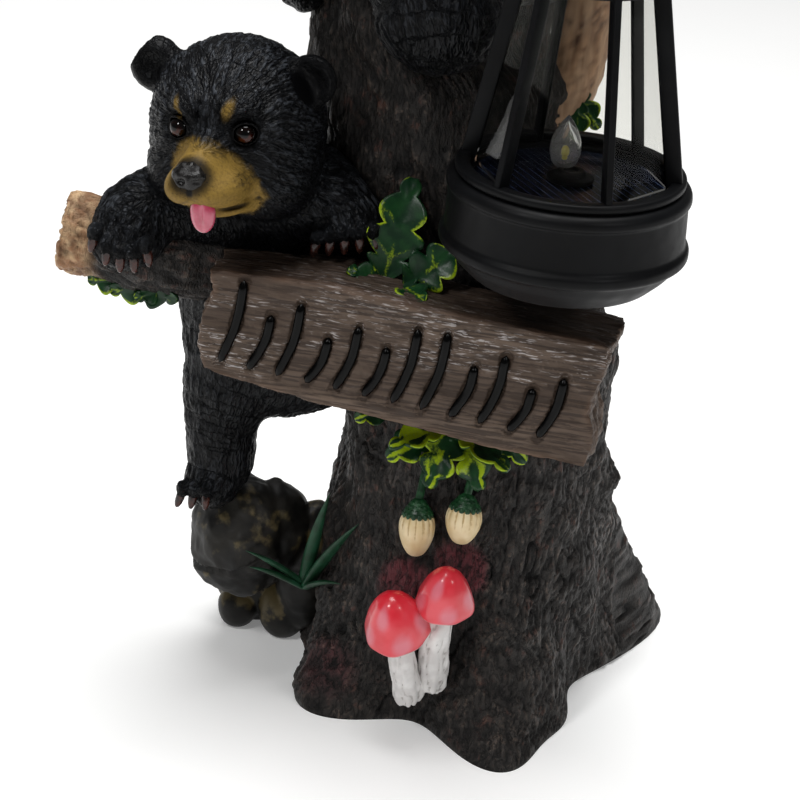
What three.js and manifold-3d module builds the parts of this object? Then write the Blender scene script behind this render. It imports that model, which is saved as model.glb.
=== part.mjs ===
// Bear garden statue: a cub leans over a plank sign on a stump, a second cub sits in the fork above,
// and a lantern hangs from the right-hand limb. Millimetres, +Z up, the sign faces -Y.
// The origin is on the ground, under the foot of the stump.
import * as THREE from "three";
import { mergeVertices } from "three/addons/utils/BufferGeometryUtils.js";
import Module from "manifold-3d";

const wasm = await Module();
wasm.setup();

const CLEARANCE = 0.4;
const MERGE_DISTANCE = 1e-3;
const CUT_OVERRUN = 1;
const GROUND_SIZE = 400;

const FINISH = {
  resin: { color: 0x211f1e, roughness: 0.55 },
  plastic: { color: 0x17181a, roughness: 0.5 },
  cell: { color: 0x0a0f1c, roughness: 0.2 },
  bulb: { color: 0xe8e6dc, roughness: 0.05 },
  pane: { color: 0xdfe3e0, roughness: 0.04 },
};

// Stump rows: height, axis x, axis y, half width, half depth
const STUMP_ROWS = [
  [0, 0, 2, 48, 46],
  [50, 1.5, 2, 48, 46],
  [85, 2.5, 2, 45.5, 45],
  [115, 1, 2, 46, 43],
  [150, -8, 3, 46, 38],
  [185, -18, 4, 45, 34],
  [212, -24, 4, 42, 32],
  [235, -34, 4, 33, 29],
  [270, -37, 5, 28, 26],
  [320, -36, 6, 25, 24],
  [346, -35, 6, 20, 19],
];
const STUMP_SIDES = 30;
const STUMP_RINGS = 15;
const STUMP_RING_CROWDING = 1.25;
const STUMP_BREAK = { height: 7, waves: 3, turn: 1 };
const BARK_RIDGES = 8;
const BARK_DEPTH = 1.5;
const BARK_TWIST = 0.012;

// Roots: direction in degrees, reach beyond the stump, half spread in degrees, height of the flare
const ROOTS = [
  [-67, 33, 10.5, 30],
  [-45, 13, 12, 30],
  [-123, 21, 18, 30],
  [45, 46, 20, 44],
  [98, 24, 17, 30],
  [150, 18, 20, 26],
];
const ROOT_FALL = 1.2;

// Limbs: rows of x, y, z, radius along the middle line
const LEFT_BRANCH = [
  [-34, -8, 146, 15],
  [-70, -22, 150, 15],
  [-104, -42, 154.5, 14],
  [-122, -45.5, 157, 13],
  [-132.5, -46.5, 158, 12.3],
];
const RIGHT_LIMB = [
  [-4, 8, 186, 18],
  [17, 12, 212, 12],
  [24, 11, 242, 9],
  [29, 4, 276, 8],
  [32, -22, 299, 6.8],
  [32.6, -48, 303, 5.6],
  [32.6, -66, 303, 5.2],
  [33, -82, 309, 4.6],
];
const KNOTS = { waves: [3, 2], drift: 1.7 };
const LEFT_BRANCH_FORM = { roughness: 0.1, dome: false };
const RIGHT_LIMB_FORM = { sides: 7, stepsPerSpan: 1, roughness: 0.05 };
const DOME_TURNS = [Math.PI / 6, Math.PI / 3];
const LANTERN_HANG = new THREE.Vector3(32.6, -60, 303.3);
const HANG_LIMB_RADIUS = 6.2;

// Cub's head in shares of its size: x to the cub's left, -y forward, z up; a pair is mirrored in x
const HEAD = {
  single: [
    { at: [0.02, 0, 0.08], radii: [0.97, 0.94, 0.98], sides: 16, bands: 10 },
    { at: [0.055, -0.92, -0.2], radii: [0.47, 0.57, 0.35], sides: 12, bands: 8 },
    { at: [0.09, -0.8, -0.48], radii: [0.4, 0.48, 0.16], sides: 8, bands: 6 },
    { at: [0.055, -1.4, -0.045], radii: [0.19, 0.14, 0.14], sides: 8, bands: 4 },
  ],
  paired: [
    { at: [0.42, -0.24, -0.345], radii: [0.53, 0.6, 0.48], sides: 8, bands: 6 },
    { at: [0.36, -0.8, 0.245], radii: [0.11, 0.1, 0.11], sides: 6, bands: 4 },
  ],
  ear: { at: [0.88, 0.025, 0.65], radii: [0.3, 0.18, 0.3], sides: 10, bands: 6 },
  earHollow: { at: [0.9, -0.15, 0.64], radii: [0.2, 0.17, 0.2], sides: 8, bands: 4 },
  tongue: { at: [0.082, -1.17, -0.56], radii: [0.14, 0.12, 0.2], sides: 6, bands: 4 },
  fewestSides: 4,
};

// Lower cub
const CUB_HEAD = { at: [-78.5, -42, 200], yaw: -7, pitch: 0, roll: -5, size: 30, tongue: true, fine: 1 };
const CUB_TORSO = { at: [-64, -22, 138], radii: [36, 23, 44] };
const CUB_NECK = { at: [-66, -30, 178], radii: [26, 20, 19] };
const CUB_OUTER_ARM = [
  [-80, -32, 171, 15],
  [-98, -42, 172.5, 13.5],
  [-108.5, -52, 169.5, 12],
  [-110.5, -58.5, 163, 10],
];
const CUB_INNER_ARM = [
  [-54, -30, 180, 13],
  [-46, -35, 178, 11.5],
  [-42.5, -38.5, 173, 9.5],
];
const CUB_LEG = [
  [-77.5, -23, 113, 19.5],
  [-81.5, -25.5, 93, 13.3],
  [-81.5, -25, 75, 11.3],
  [-83, -29, 68, 9.5],
];
const CUB_HAUNCH = { at: [-50, -22, 120], radii: [18, 17, 19] };
const CLAW = { length: 7, radius: 1.6, sides: 4, arch: 0.25 };
const OUTER_PAW_CLAWS = { middle: [-110.5, -62, 159.5], across: [1, 0.06, -0.06], down: [0.05, -0.45, -0.9],
  spread: 16, count: 5 };
const INNER_PAW_CLAWS = { middle: [-43, -43, 171.5], across: [1, 0.1, 0.06], down: [0.05, -0.5, -0.85],
  spread: 13, count: 5 };
const FOOT_CLAWS = { middle: [-86.5, -35.5, 65], across: [1, -0.2, 0.05], down: [-0.35, -0.85, -0.45],
  spread: 11, count: 3 };

// Upper cub
const HIGH_HEAD = { at: [-22, -44, 320], yaw: 16, pitch: 8, roll: 4, size: 25, tongue: false, fine: 0.55 };
const HIGH_RUMP = { at: [-16, -41, 249], radii: [21, 18, 21] };
const HIGH_TORSO = { at: [-22, -37, 279], radii: [20, 17, 30] };
const HIGH_LIMB_FORM = { sides: 6, stepsPerSpan: 1 };
const HIGH_LIMBS = [
  [[-30, -38, 258, 12], [-50, -33, 265, 10.5], [-65, -18, 251, 9], [-66.5, -12, 241.5, 8]],
  [[-10, -34, 254, 12], [3, -22, 258, 10], [9, -10, 254, 8.5]],
  [[-38, -32, 298, 10.5], [-58, -22, 293, 9.5], [-63, -4, 292, 8]],
  [[-8, -32, 299, 10.5], [10, -22, 301, 9], [28, -14, 300, 8.5]],
];

// Sign: outline of the plank face as x, z
const SIGN_FRONT_Y = -64;
const SIGN_THICKNESS = 26;
const SIGN_BEVEL = 1;
const SIGN_OUTLINE = [
  [-80, 124],
  [-58, 121.5],
  [-20, 117],
  [14, 113.5],
  [48.5, 111.5],
  [52, 118],
  [51.5, 124],
  [48.5, 129.5],
  [51.5, 145],
  [51.5, 154.5],
  [6, 157.5],
  [-40, 161],
  [-80.5, 160],
  [-77.5, 153],
  [-82.5, 144],
  [-82, 134],
];
const STROKES = { count: 12, fromX: -71, toX: 35, topZ: [155, 146], bottomZ: [128, 119.5], lean: 3.4,
  bow: 1.6, radius: 1.5, depth: 0.9 };
const STROKE_FORM = { sides: 4, stepsPerSpan: 1, dome: false };
const STROKE_SHORTEN = [0, 0.32, 0.1, 0.42, 0.2, 0.36, 0.05];

// Oak leaves: stalk end, tip, width
const LEAF = { lobes: 3, smallLobes: 2, smallWidth: 13, thickness: 2, notch: 0.3, fold: 0.25, curl: 0.14,
  shoulder: 0.8, fullness: 0.6 };
const LEAVES = [
  { base: [-26, -47, 157], tip: [-20, -41, 192], facing: [0.1, -1, 0.15], width: 17 },
  { base: [-19, -49, 157], tip: [-2, -46, 173], facing: [0.1, -1, 0.4], width: 14 },
  { base: [-21, -48, 158], tip: [-10, -61, 161], facing: [0, -0.3, 1], width: 11 },
  { base: [0, -39, 109], tip: [-19, -51, 98], facing: [-0.1, -1, 0.35], width: 15 },
  { base: [2, -39, 110], tip: [-4, -55, 92], facing: [0, -1, 0.3], width: 15 },
  { base: [3, -39, 110], tip: [13, -53, 93], facing: [0.1, -1, 0.3], width: 14 },
  { base: [8, -36, 111], tip: [26, -44, 101], facing: [0.2, -1, 0.3], width: 11 },
  { base: [-18, -36, 112], tip: [-33, -41, 105], facing: [-0.3, -1, 0.2], width: 9 },
  { base: [-98, -44, 142], tip: [-122, -52, 139.5], facing: [0, -0.6, -0.8], width: 14 },
  { base: [-112, -44, 143], tip: [-95, -50, 137], facing: [0, -0.8, -0.6], width: 12 },
  { base: [22, 6, 214], tip: [33, 3, 203], facing: [0.5, -1, 0], width: 9 },
];

// Acorns hang under the leaves: cap top and nut tip
const ACORNS = [
  { top: [-7.4, -48, 83], tip: [-6.5, -50.5, 63.2] },
  { top: [8.7, -48, 87.7], tip: [8.2, -50.5, 70.5] },
];
const ACORN_CAP = { radius: 4.9, profile: [[0, 0], [0.8, 0.1], [1, 0.26]] };
const ACORN_NUT = { radius: 6.2, profile: [[0.92, 0.32], [1, 0.5], [0.7, 0.84], [0, 1]] };
const ACORN_STEM = { radius: 1.3, lean: [1, 7, 15], form: { sides: 4, stepsPerSpan: 1 } };
const ACORN_SIDES = 6;

// Mushrooms: foot, top of the cap, cap radius, cap height
const MUSHROOMS = [
  { foot: [-3, -57, 14], top: [-10, -72, 59], capRadius: 11.8, capHeight: 19, stemRadius: 5 },
  { foot: [3.5, -54.5, 20], top: [8, -67, 69], capRadius: 10, capHeight: 17, stemRadius: 5 },
];
const MUSHROOM_CAP = {
  sides: 10,
  sink: 0.3,
  profile: [[0, 0.12], [0.8, -0.04], [1, 0.06], [0.97, 0.22], [0.72, 0.6], [0.38, 0.9], [0, 1]],
};
const MUSHROOM_STEM = { foot: 1.15, top: 0.7, bow: 2, form: { sides: 6, stepsPerSpan: 1 } };

// Rocks: centre and half sizes
const ROCKS = [
  [[-75, -14, 42], [18, 18, 22]],
  [[-72, 2, 21], [16, 15, 24]],
  [[-52, -1, 28], [13, 15, 27]],
  [[-77, -3.5, 7.5], [7, 7, 8.5]],
  [[-60, -3.5, 8.5], [8.5, 8.5, 10.5]],
  [[-60, 12, 15], [26, 26, 20]],
];
const ROCK_SWELL = { depth: 0.05, waves: [2.3, 2.9, 2.6], shifts: [1, -1.4, 0.8] };

// Grass blades: root, tip, width
const BLADES = [
  [[-50, -10, 26], [-40, -36, 74], 5],
  [[-50, -10, 26], [-28, -42, 67.5], 5.5],
  [[-50, -10, 28], [-67.5, -38, 48], 5],
  [[-50, -10, 24], [-33, -40, 42.5], 4],
];
const BLADE = { thickness: 1.8, bow: 5, steps: 3, tipWidth: 0.1, tipThickness: 0.2 };

// Lantern: heights above the underside of its pan
const LANTERN_AT = [32.6, -60, 171.5];
const LANTERN_TURN = -2;
const LANTERN_SIDES = 6;
const LATHE_SIDES = 16;
const PAN_PROFILE = [
  [0, 0],
  [20, 0],
  [30, 4],
  [36.4, 12],
  [39.2, 13.3],
  [39.2, 16.5],
  [37.6, 18],
  [37.4, 31],
  [38.3, 32.3],
  [37.9, 34.6],
  [36.2, 36],
  [32.6, 36],
  [32.6, 32.5],
  [0, 32.5],
];
const CELL = { radius: 30, thickness: 1.6, sides: 12 };
const PAN_FLOOR = 32.5;
const GLASS = { bottom: 36.9, top: 101.5, bottomRadius: 31, topRadius: 19.4, wall: 1.5 };
const FRAME = { rib: 5, outset: 2.6, ringHeight: 3 };
const SOCKET = { radius: 5, taper: 0.8, height: 3.4, sides: 10 };
const BULB = {
  radius: 5,
  height: 17,
  sides: 10,
  aside: -2.4,
  profile: [[0, 0], [0.5, 0], [0.82, 0.1], [1, 0.32], [0.9, 0.54], [0.5, 0.8], [0, 1]],
};
const CAP_PROFILE = [
  [0, 0],
  [23.5, 0],
  [25, 2],
  [22, 5],
  [9, 12],
  [5, 18],
  [0, 19],
];
const LOOP = { inner: 8, tube: 1.9, sides: 12, tubeSides: 5 };

const point = (x, y, z) => new THREE.Vector3(x, y, z);
const radians = THREE.MathUtils.degToRad;

// A closed geometry as a solid that can be joined and cut
function toSolid(geometry) {
  const bare = new THREE.BufferGeometry();
  bare.setAttribute("position", geometry.getAttribute("position"));
  bare.setIndex(geometry.index);
  const merged = mergeVertices(bare, MERGE_DISTANCE);
  const corners = [];
  for (let i = 0; i < merged.index.count; i += 3) {
    const [a, b, c] = [0, 1, 2].map((k) => merged.index.getX(i + k));
    if (a !== b && b !== c && c !== a) {
      corners.push(a, b, c);
    }
  }
  const mesh = new wasm.Mesh({
    numProp: 3,
    vertProperties: merged.attributes.position.array,
    triVerts: new Uint32Array(corners),
  });
  return new wasm.Manifold(mesh);
}

const joined = (solids) => solids.reduce((sum, next) => sum.add(next));

function toGeometry(solid) {
  const mesh = solid.getMesh();
  const geometry = new THREE.BufferGeometry();
  geometry.setAttribute("position", new THREE.BufferAttribute(mesh.vertProperties, mesh.numProp));
  geometry.setIndex(new THREE.BufferAttribute(mesh.triVerts, 1));
  geometry.computeVertexNormals();
  return geometry;
}

// Smooth reading of a table whose first column is the key
function readRow(rows, key) {
  const last = rows.length - 1;
  let i = 0;
  while (i < last - 1 && key > rows[i + 1][0]) {
    i += 1;
  }
  const share = THREE.MathUtils.smoothstep(key, rows[i][0], rows[i + 1][0]);
  return rows[i].map((value, column) => THREE.MathUtils.lerp(value, rows[i + 1][column], share));
}

// Skin through rings of equal count, closed by a fan at each end
function loft(rings) {
  const sides = rings[0].length;
  const middle = (ring) => ring.reduce((sum, p) => sum.add(p), point(0, 0, 0)).divideScalar(sides);
  const vertices = [...rings.flat(), middle(rings[0]), middle(rings[rings.length - 1])];
  const firstMiddle = vertices.length - 2;
  const lastMiddle = vertices.length - 1;
  const lastRing = (rings.length - 1) * sides;
  const faces = [];
  for (let j = 0; j < sides; j += 1) {
    const next = (j + 1) % sides;
    for (let i = 0; i < lastRing; i += sides) {
      faces.push(i + j, i + next, i + sides + j, i + next, i + sides + next, i + sides + j);
    }
    faces.push(firstMiddle, next, j, lastMiddle, lastRing + j, lastRing + next);
  }
  return new THREE.BufferGeometry().setFromPoints(vertices).setIndex(faces);
}

// Tapered round limb with domed ends; roughness makes its rings irregular
function limb(stations, { sides = 8, stepsPerSpan = 2, roughness = 0, dome = true } = {}) {
  const path = new THREE.CatmullRomCurve3(stations.map(([x, y, z]) => point(x, y, z)));
  const steps = (stations.length - 1) * stepsPerSpan;
  const frames = path.computeFrenetFrames(steps);
  const ringAt = (i, shift, scale) => {
    const share = path.getUtoTmapping(i / steps, 0) * (stations.length - 1);
    const row = Math.min(Math.floor(share), stations.length - 2);
    const radius = THREE.MathUtils.lerp(stations[row][3], stations[row + 1][3], share - row);
    const centre = path.getPointAt(i / steps).addScaledVector(frames.tangents[i], shift * radius);
    return Array.from({ length: sides }, (_, j) => {
      const angle = (j / sides) * 2 * Math.PI;
      const knots = Math.sin(KNOTS.waves[0] * angle + KNOTS.drift * i) * Math.cos(KNOTS.waves[1] * angle - i);
      const wobble = 1 + roughness * knots;
      return centre
        .clone()
        .addScaledVector(frames.normals[i], Math.cos(angle) * radius * scale * wobble)
        .addScaledVector(frames.binormals[i], Math.sin(angle) * radius * scale * wobble);
    });
  };
  const rings = Array.from({ length: steps + 1 }, (_, i) => ringAt(i, 0, 1));
  if (dome) {
    const [low, high] = DOME_TURNS;
    rings.unshift(ringAt(0, -Math.sin(high), Math.cos(high)), ringAt(0, -Math.sin(low), Math.cos(low)));
    rings.push(ringAt(steps, Math.sin(low), Math.cos(low)), ringAt(steps, Math.sin(high), Math.cos(high)));
  }
  return loft(rings);
}

function blob({ at, radii, sides = 10, bands = 8 }) {
  const ball = new THREE.SphereGeometry(1, sides, bands).rotateX(Math.PI / 2);
  return ball.scale(...radii).translate(...at);
}

// Carries a shape that stands on +Y at the origin to a base, pointing at a tip
function aim(geometry, base, tip, facing = [0, -1, 0]) {
  const from = point(...base);
  const along = point(...tip).sub(from).normalize();
  const side = along.clone().cross(point(...facing)).normalize();
  const front = side.clone().cross(along);
  return geometry.applyMatrix4(new THREE.Matrix4().makeBasis(side, along, front).setPosition(from));
}

function distance(base, tip) {
  return point(...base).distanceTo(point(...tip));
}

// Stump with root lobes, bark ridges and a broken top
function stump() {
  const top = STUMP_ROWS[STUMP_ROWS.length - 1][0];
  const { height, waves, turn } = STUMP_BREAK;
  const rings = Array.from({ length: STUMP_RINGS }, (_, i) => {
    const z = top * (i / (STUMP_RINGS - 1)) ** STUMP_RING_CROWDING;
    const [, x, y, halfWidth, halfDepth] = readRow(STUMP_ROWS, z);
    return Array.from({ length: STUMP_SIDES }, (__, j) => {
      const angle = (j / STUMP_SIDES) * 2 * Math.PI;
      const roots = ROOTS.reduce((sum, [direction, reach, spread, flare]) => {
        const away = angle - radians(direction);
        const swing = Math.atan2(Math.sin(away), Math.cos(away));
        const lobe = Math.exp(-0.5 * (swing / radians(spread)) ** 2);
        return sum + reach * lobe * Math.exp(-((z / flare) ** ROOT_FALL));
      }, 0);
      const ridge = BARK_DEPTH * Math.sin(BARK_RIDGES * angle + BARK_TWIST * z * BARK_RIDGES);
      const broken = z === top ? height * Math.sin(waves * angle + turn) : 0;
      return point(
        x + (halfWidth + roots + ridge) * Math.cos(angle),
        y + (halfDepth + roots + ridge) * Math.sin(angle),
        z + broken,
      );
    });
  });
  return toSolid(loft(rings));
}

// Head of joined rounds, turned and sized as a whole
function cubHead({ at, yaw, pitch, roll, size, tongue, fine }) {
  const place = new THREE.Matrix4()
    .makeTranslation(...at)
    .multiply(new THREE.Matrix4().makeRotationZ(radians(yaw)))
    .multiply(new THREE.Matrix4().makeRotationX(radians(pitch)))
    .multiply(new THREE.Matrix4().makeRotationY(radians(roll)))
    .multiply(new THREE.Matrix4().makeScale(size, size, size));
  const even = (count) => Math.max(HEAD.fewestSides, 2 * Math.round((count * fine) / 2));
  const piece = ({ at: [x, y, z], radii, sides, bands }, side = 1) => {
    const shape = blob({ at: [side * x, y, z], radii, sides: even(sides), bands: even(bands) });
    return toSolid(shape.applyMatrix4(place));
  };
  const parts = HEAD.single.map((round) => piece(round));
  for (const side of [-1, 1]) {
    parts.push(...HEAD.paired.map((round) => piece(round, side)));
    parts.push(piece(HEAD.ear, side).subtract(piece(HEAD.earHollow, side)));
  }
  if (tongue) {
    parts.push(piece(HEAD.tongue));
  }
  return joined(parts);
}

// A row of claws set across the front of a paw
function claws({ middle, across, down, spread, count }) {
  const row = point(...across).normalize();
  const aimDown = point(...down).normalize();
  const { length, radius, sides } = CLAW;
  return Array.from({ length: count }, (_, i) => {
    const share = i / (count - 1) - 0.5;
    const arch = spread * CLAW.arch * (1 - 4 * share * share);
    const base = point(...middle)
      .addScaledVector(row, share * spread)
      .addScaledVector(aimDown, arch - radius);
    const tip = base.clone().addScaledVector(aimDown, length);
    const cone = new THREE.ConeGeometry(radius, length, sides).translate(0, length / 2, 0);
    return toSolid(aim(cone, base.toArray(), tip.toArray(), across));
  });
}

function lowerCub() {
  return joined([
    toSolid(blob(CUB_TORSO)),
    toSolid(blob(CUB_NECK)),
    toSolid(blob(CUB_HAUNCH)),
    toSolid(limb(CUB_OUTER_ARM)),
    toSolid(limb(CUB_INNER_ARM)),
    toSolid(limb(CUB_LEG)),
    cubHead(CUB_HEAD),
    ...claws(OUTER_PAW_CLAWS),
    ...claws(INNER_PAW_CLAWS),
    ...claws(FOOT_CLAWS),
  ]);
}

function upperCub() {
  const limbs = HIGH_LIMBS.map((stations) => toSolid(limb(stations, HIGH_LIMB_FORM)));
  return joined([toSolid(blob(HIGH_RUMP)), toSolid(blob(HIGH_TORSO)), cubHead(HIGH_HEAD), ...limbs]);
}

// Plank with worn ends and a row of slanting grooves
function sign() {
  const face = new THREE.Shape(SIGN_OUTLINE.map(([x, z]) => new THREE.Vector2(x, z)));
  const plank = new THREE.ExtrudeGeometry(face, {
    depth: SIGN_THICKNESS - 2 * SIGN_BEVEL,
    bevelThickness: SIGN_BEVEL,
    bevelSize: SIGN_BEVEL,
    bevelOffset: -SIGN_BEVEL,
    bevelSegments: 1,
  });
  plank.rotateX(Math.PI / 2).translate(0, SIGN_FRONT_Y + SIGN_THICKNESS - SIGN_BEVEL, 0);
  const grooveY = SIGN_FRONT_Y - STROKES.radius + STROKES.depth;
  const grooves = Array.from({ length: STROKES.count }, (_, i) => {
    const share = i / (STROKES.count - 1);
    const x = THREE.MathUtils.lerp(STROKES.fromX, STROKES.toX, share);
    const bottom = THREE.MathUtils.lerp(...STROKES.bottomZ, share);
    const fullTop = THREE.MathUtils.lerp(...STROKES.topZ, share);
    const top = THREE.MathUtils.lerp(fullTop, bottom, STROKE_SHORTEN[i % STROKE_SHORTEN.length]);
    const stroke = [
      [x - STROKES.lean, grooveY, bottom, STROKES.radius],
      [x + STROKES.bow, grooveY, (bottom + top) / 2, STROKES.radius],
      [x + STROKES.lean, grooveY, top, STROKES.radius],
    ];
    return toSolid(limb(stroke, STROKE_FORM));
  });
  return grooves.reduce((rest, groove) => rest.subtract(groove), toSolid(plank));
}

// Lobed leaf folded along its midrib
function leaf({ base, tip, facing, width }) {
  const length = distance(base, tip);
  const lobes = width < LEAF.smallWidth ? LEAF.smallLobes : LEAF.lobes;
  const steps = 2 * lobes + 1;
  const edge = Array.from({ length: steps - 1 }, (_, i) => {
    const share = (i + 1) / steps;
    const lobe = i % 2 === 0 ? 1 : 1 - LEAF.notch;
    const swell = Math.sin(Math.PI * share ** LEAF.shoulder) ** LEAF.fullness;
    return [0.5 * width * lobe * swell, length * share];
  });
  const right = edge.map(([x, y]) => new THREE.Vector2(x, y));
  const left = edge.map(([x, y]) => new THREE.Vector2(-x, y)).reverse();
  const outline = new THREE.Shape([new THREE.Vector2(0, 0), ...right, new THREE.Vector2(0, length), ...left]);
  const blade = new THREE.ExtrudeGeometry(outline, { depth: LEAF.thickness, bevelEnabled: false });
  const place = blade.getAttribute("position");
  for (let i = 0; i < place.count; i += 1) {
    const share = place.getY(i) / length;
    place.setZ(i, place.getZ(i) + LEAF.fold * Math.abs(place.getX(i)) - LEAF.curl * length * share ** 3);
  }
  return toSolid(aim(blade, base, tip, facing));
}

// Turned shape standing on +Y
function turned(profile, sides) {
  return new THREE.LatheGeometry(profile.map(([r, y]) => new THREE.Vector2(r, y)), sides);
}

// Nut in a wider cap, on a thin stem
function acorn({ top, tip }) {
  const length = distance(top, tip);
  const sized = ({ radius, profile }) => profile.map(([r, share]) => [r * radius, share * length]);
  const nut = turned([...sized(ACORN_CAP), ...sized(ACORN_NUT)], ACORN_SIDES);
  const stemEnd = top.map((value, axis) => value + ACORN_STEM.lean[axis]);
  const stem = [
    [...top, ACORN_STEM.radius],
    [...stemEnd, ACORN_STEM.radius],
  ];
  return toSolid(aim(nut, top, tip)).add(toSolid(limb(stem, ACORN_STEM.form)));
}

// Conical cap on a stem that leans out from the stump
function mushroom({ foot, top, capRadius, capHeight, stemRadius }) {
  const rim = point(...top).lerp(point(...foot), capHeight / distance(foot, top));
  const profile = MUSHROOM_CAP.profile.map(([r, share]) => [r * capRadius, share * capHeight]);
  const cap = turned(profile, MUSHROOM_CAP.sides);
  const under = rim.clone().lerp(point(...top), MUSHROOM_CAP.sink);
  const middle = point(...foot).lerp(rim, 0.5).add(point(0, -MUSHROOM_STEM.bow, 0));
  const stem = [
    [...foot, MUSHROOM_STEM.foot * stemRadius],
    [...middle.toArray(), stemRadius],
    [...under.toArray(), MUSHROOM_STEM.top * stemRadius],
  ];
  return toSolid(aim(cap, rim.toArray(), top)).add(toSolid(limb(stem, MUSHROOM_STEM.form)));
}

// Boulder with flattened, uneven sides
function rock([at, radii], index) {
  const { depth, waves, shifts } = ROCK_SWELL;
  const ball = new THREE.IcosahedronGeometry(1, 1);
  const place = ball.getAttribute("position");
  for (let i = 0; i < place.count; i += 1) {
    const corner = point(0, 0, 0).fromBufferAttribute(place, i);
    const swell = corner
      .toArray()
      .reduce((sum, value, axis) => sum + Math.sin(waves[axis] * value + shifts[axis] * index), 0);
    corner.multiplyScalar(1 + depth * swell);
    place.setXYZ(i, ...corner.toArray());
  }
  return toSolid(ball.scale(...radii).translate(...at));
}

// Grass blade: a flat tapering strip with a triangular section
function blade([root, tip, width]) {
  const path = new THREE.QuadraticBezierCurve3(
    point(...root),
    point(...root).lerp(point(...tip), 0.5).add(point(0, -BLADE.bow, BLADE.bow)),
    point(...tip),
  );
  const rings = Array.from({ length: BLADE.steps + 1 }, (_, i) => {
    const share = i / BLADE.steps;
    const along = path.getTangent(share);
    const side = along.clone().cross(point(0, -1, 0)).normalize();
    const front = side.clone().cross(along);
    const half = 0.5 * width * THREE.MathUtils.lerp(1, BLADE.tipWidth, share);
    const thick = BLADE.thickness * THREE.MathUtils.lerp(1, BLADE.tipThickness, share);
    const centre = path.getPoint(share);
    return [
      centre.clone().addScaledVector(side, half),
      centre.clone().addScaledVector(front, thick),
      centre.clone().addScaledVector(side, -half),
    ];
  });
  return toSolid(loft(rings.map((ring) => ring.reverse())));
}

// Everything cast in one, cut level at the ground
function casting() {
  const wood = joined([
    stump(),
    toSolid(limb(LEFT_BRANCH, LEFT_BRANCH_FORM)),
    toSolid(limb(RIGHT_LIMB, RIGHT_LIMB_FORM)),
  ]);
  const trimmings = [
    ...LEAVES.map(leaf),
    ...ACORNS.map(acorn),
    ...MUSHROOMS.map(mushroom),
    ...ROCKS.map(rock),
    ...BLADES.map(blade),
  ];
  const whole = joined([wood, lowerCub(), upperCub(), sign(), ...trimmings]);
  const ground = new THREE.BoxGeometry(GROUND_SIZE, GROUND_SIZE, GROUND_SIZE);
  ground.translate(0, 0, -GROUND_SIZE / 2);
  return whole.subtract(toSolid(ground));
}

function add(group, name, solid, finish) {
  const mesh = new THREE.Mesh(toGeometry(solid), new THREE.MeshStandardMaterial(finish));
  mesh.name = name;
  group.add(mesh);
}

// Six-sided upright frustum, corners on the ribs
function hexFrustum(bottomRadius, topRadius, bottom, top) {
  const corner = (radius, z) =>
    Array.from({ length: LANTERN_SIDES }, (_, j) => {
      const angle = (j / LANTERN_SIDES) * 2 * Math.PI;
      return point(radius * Math.cos(angle), radius * Math.sin(angle), z);
    });
  return toSolid(loft([corner(bottomRadius, bottom), corner(topRadius, top)]));
}

const upright = (profile, z) => toSolid(turned(profile, LATHE_SIDES).rotateX(Math.PI / 2).translate(0, 0, z));

function lanternPan(group) {
  add(group, "lantern_pan", upright(PAN_PROFILE, 0), FINISH.plastic);
}

function lanternCell(group) {
  const disc = new THREE.CylinderGeometry(CELL.radius, CELL.radius, CELL.thickness, CELL.sides);
  disc.rotateX(Math.PI / 2).translate(0, 0, PAN_FLOOR + CLEARANCE + CELL.thickness / 2);
  add(group, "lantern_solar_cell", toSolid(disc), FINISH.cell);
}

function lanternLamp(group) {
  const foot = PAN_FLOOR + CELL.thickness + 2 * CLEARANCE;
  const { radius, taper, height, sides } = SOCKET;
  const cup = new THREE.CylinderGeometry(taper * radius, radius, height, sides);
  const socket = toSolid(cup.rotateX(Math.PI / 2).translate(0, 0, foot + height / 2));
  add(group, "lantern_lamp_socket", socket, FINISH.plastic);
  const flame = turned(BULB.profile.map(([r, share]) => [r * BULB.radius, share * BULB.height]), BULB.sides);
  const bulb = toSolid(flame.rotateX(Math.PI / 2).translate(BULB.aside, 0, foot + height + CLEARANCE));
  add(group, "lantern_bulb", bulb, FINISH.bulb);
}

// Clear sleeve of six flat panes, open at both ends
function lanternGlass(group) {
  const { bottom, top, bottomRadius, topRadius, wall } = GLASS;
  const slope = (bottomRadius - topRadius) / (top - bottom);
  const outer = hexFrustum(bottomRadius, topRadius, bottom, top);
  const inner = hexFrustum(
    bottomRadius - wall + slope * CUT_OVERRUN,
    topRadius - wall - slope * CUT_OVERRUN,
    bottom - CUT_OVERRUN,
    top + CUT_OVERRUN,
  );
  add(group, "lantern_glass", outer.subtract(inner), FINISH.pane);
}

// Six ribs between a bottom ring and a top ring, outside the glass
function lanternFrame(group) {
  const { bottom, top, bottomRadius, topRadius } = GLASS;
  const { rib, outset, ringHeight } = FRAME;
  const slope = (bottomRadius - topRadius) / (top - bottom);
  const gap = CLEARANCE / Math.cos(Math.PI / LANTERN_SIDES);
  const shell = (low, high, extra) =>
    hexFrustum(
      bottomRadius + extra - slope * (low - bottom),
      bottomRadius + extra - slope * (high - bottom),
      low,
      high,
    );
  const ring = (low, high) => shell(low, high, gap + outset);
  const lowRing = ring(bottom, bottom + ringHeight);
  const highRing = ring(top - ringHeight, top);
  const ribs = Array.from({ length: LANTERN_SIDES }, (_, j) => {
    const angle = (j / LANTERN_SIDES) * 2 * Math.PI;
    const bar = new THREE.BoxGeometry(2 * outset, rib, top - bottom - ringHeight);
    bar.rotateY(-Math.atan(slope));
    bar.translate((bottomRadius + topRadius) / 2 + outset / 2, 0, (bottom + top) / 2);
    return toSolid(bar.rotateZ(angle));
  });
  const core = shell(bottom - CUT_OVERRUN, top + CUT_OVERRUN, gap);
  add(group, "lantern_frame", joined([lowRing, highRing, ...ribs]).subtract(core), FINISH.plastic);
}

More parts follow.
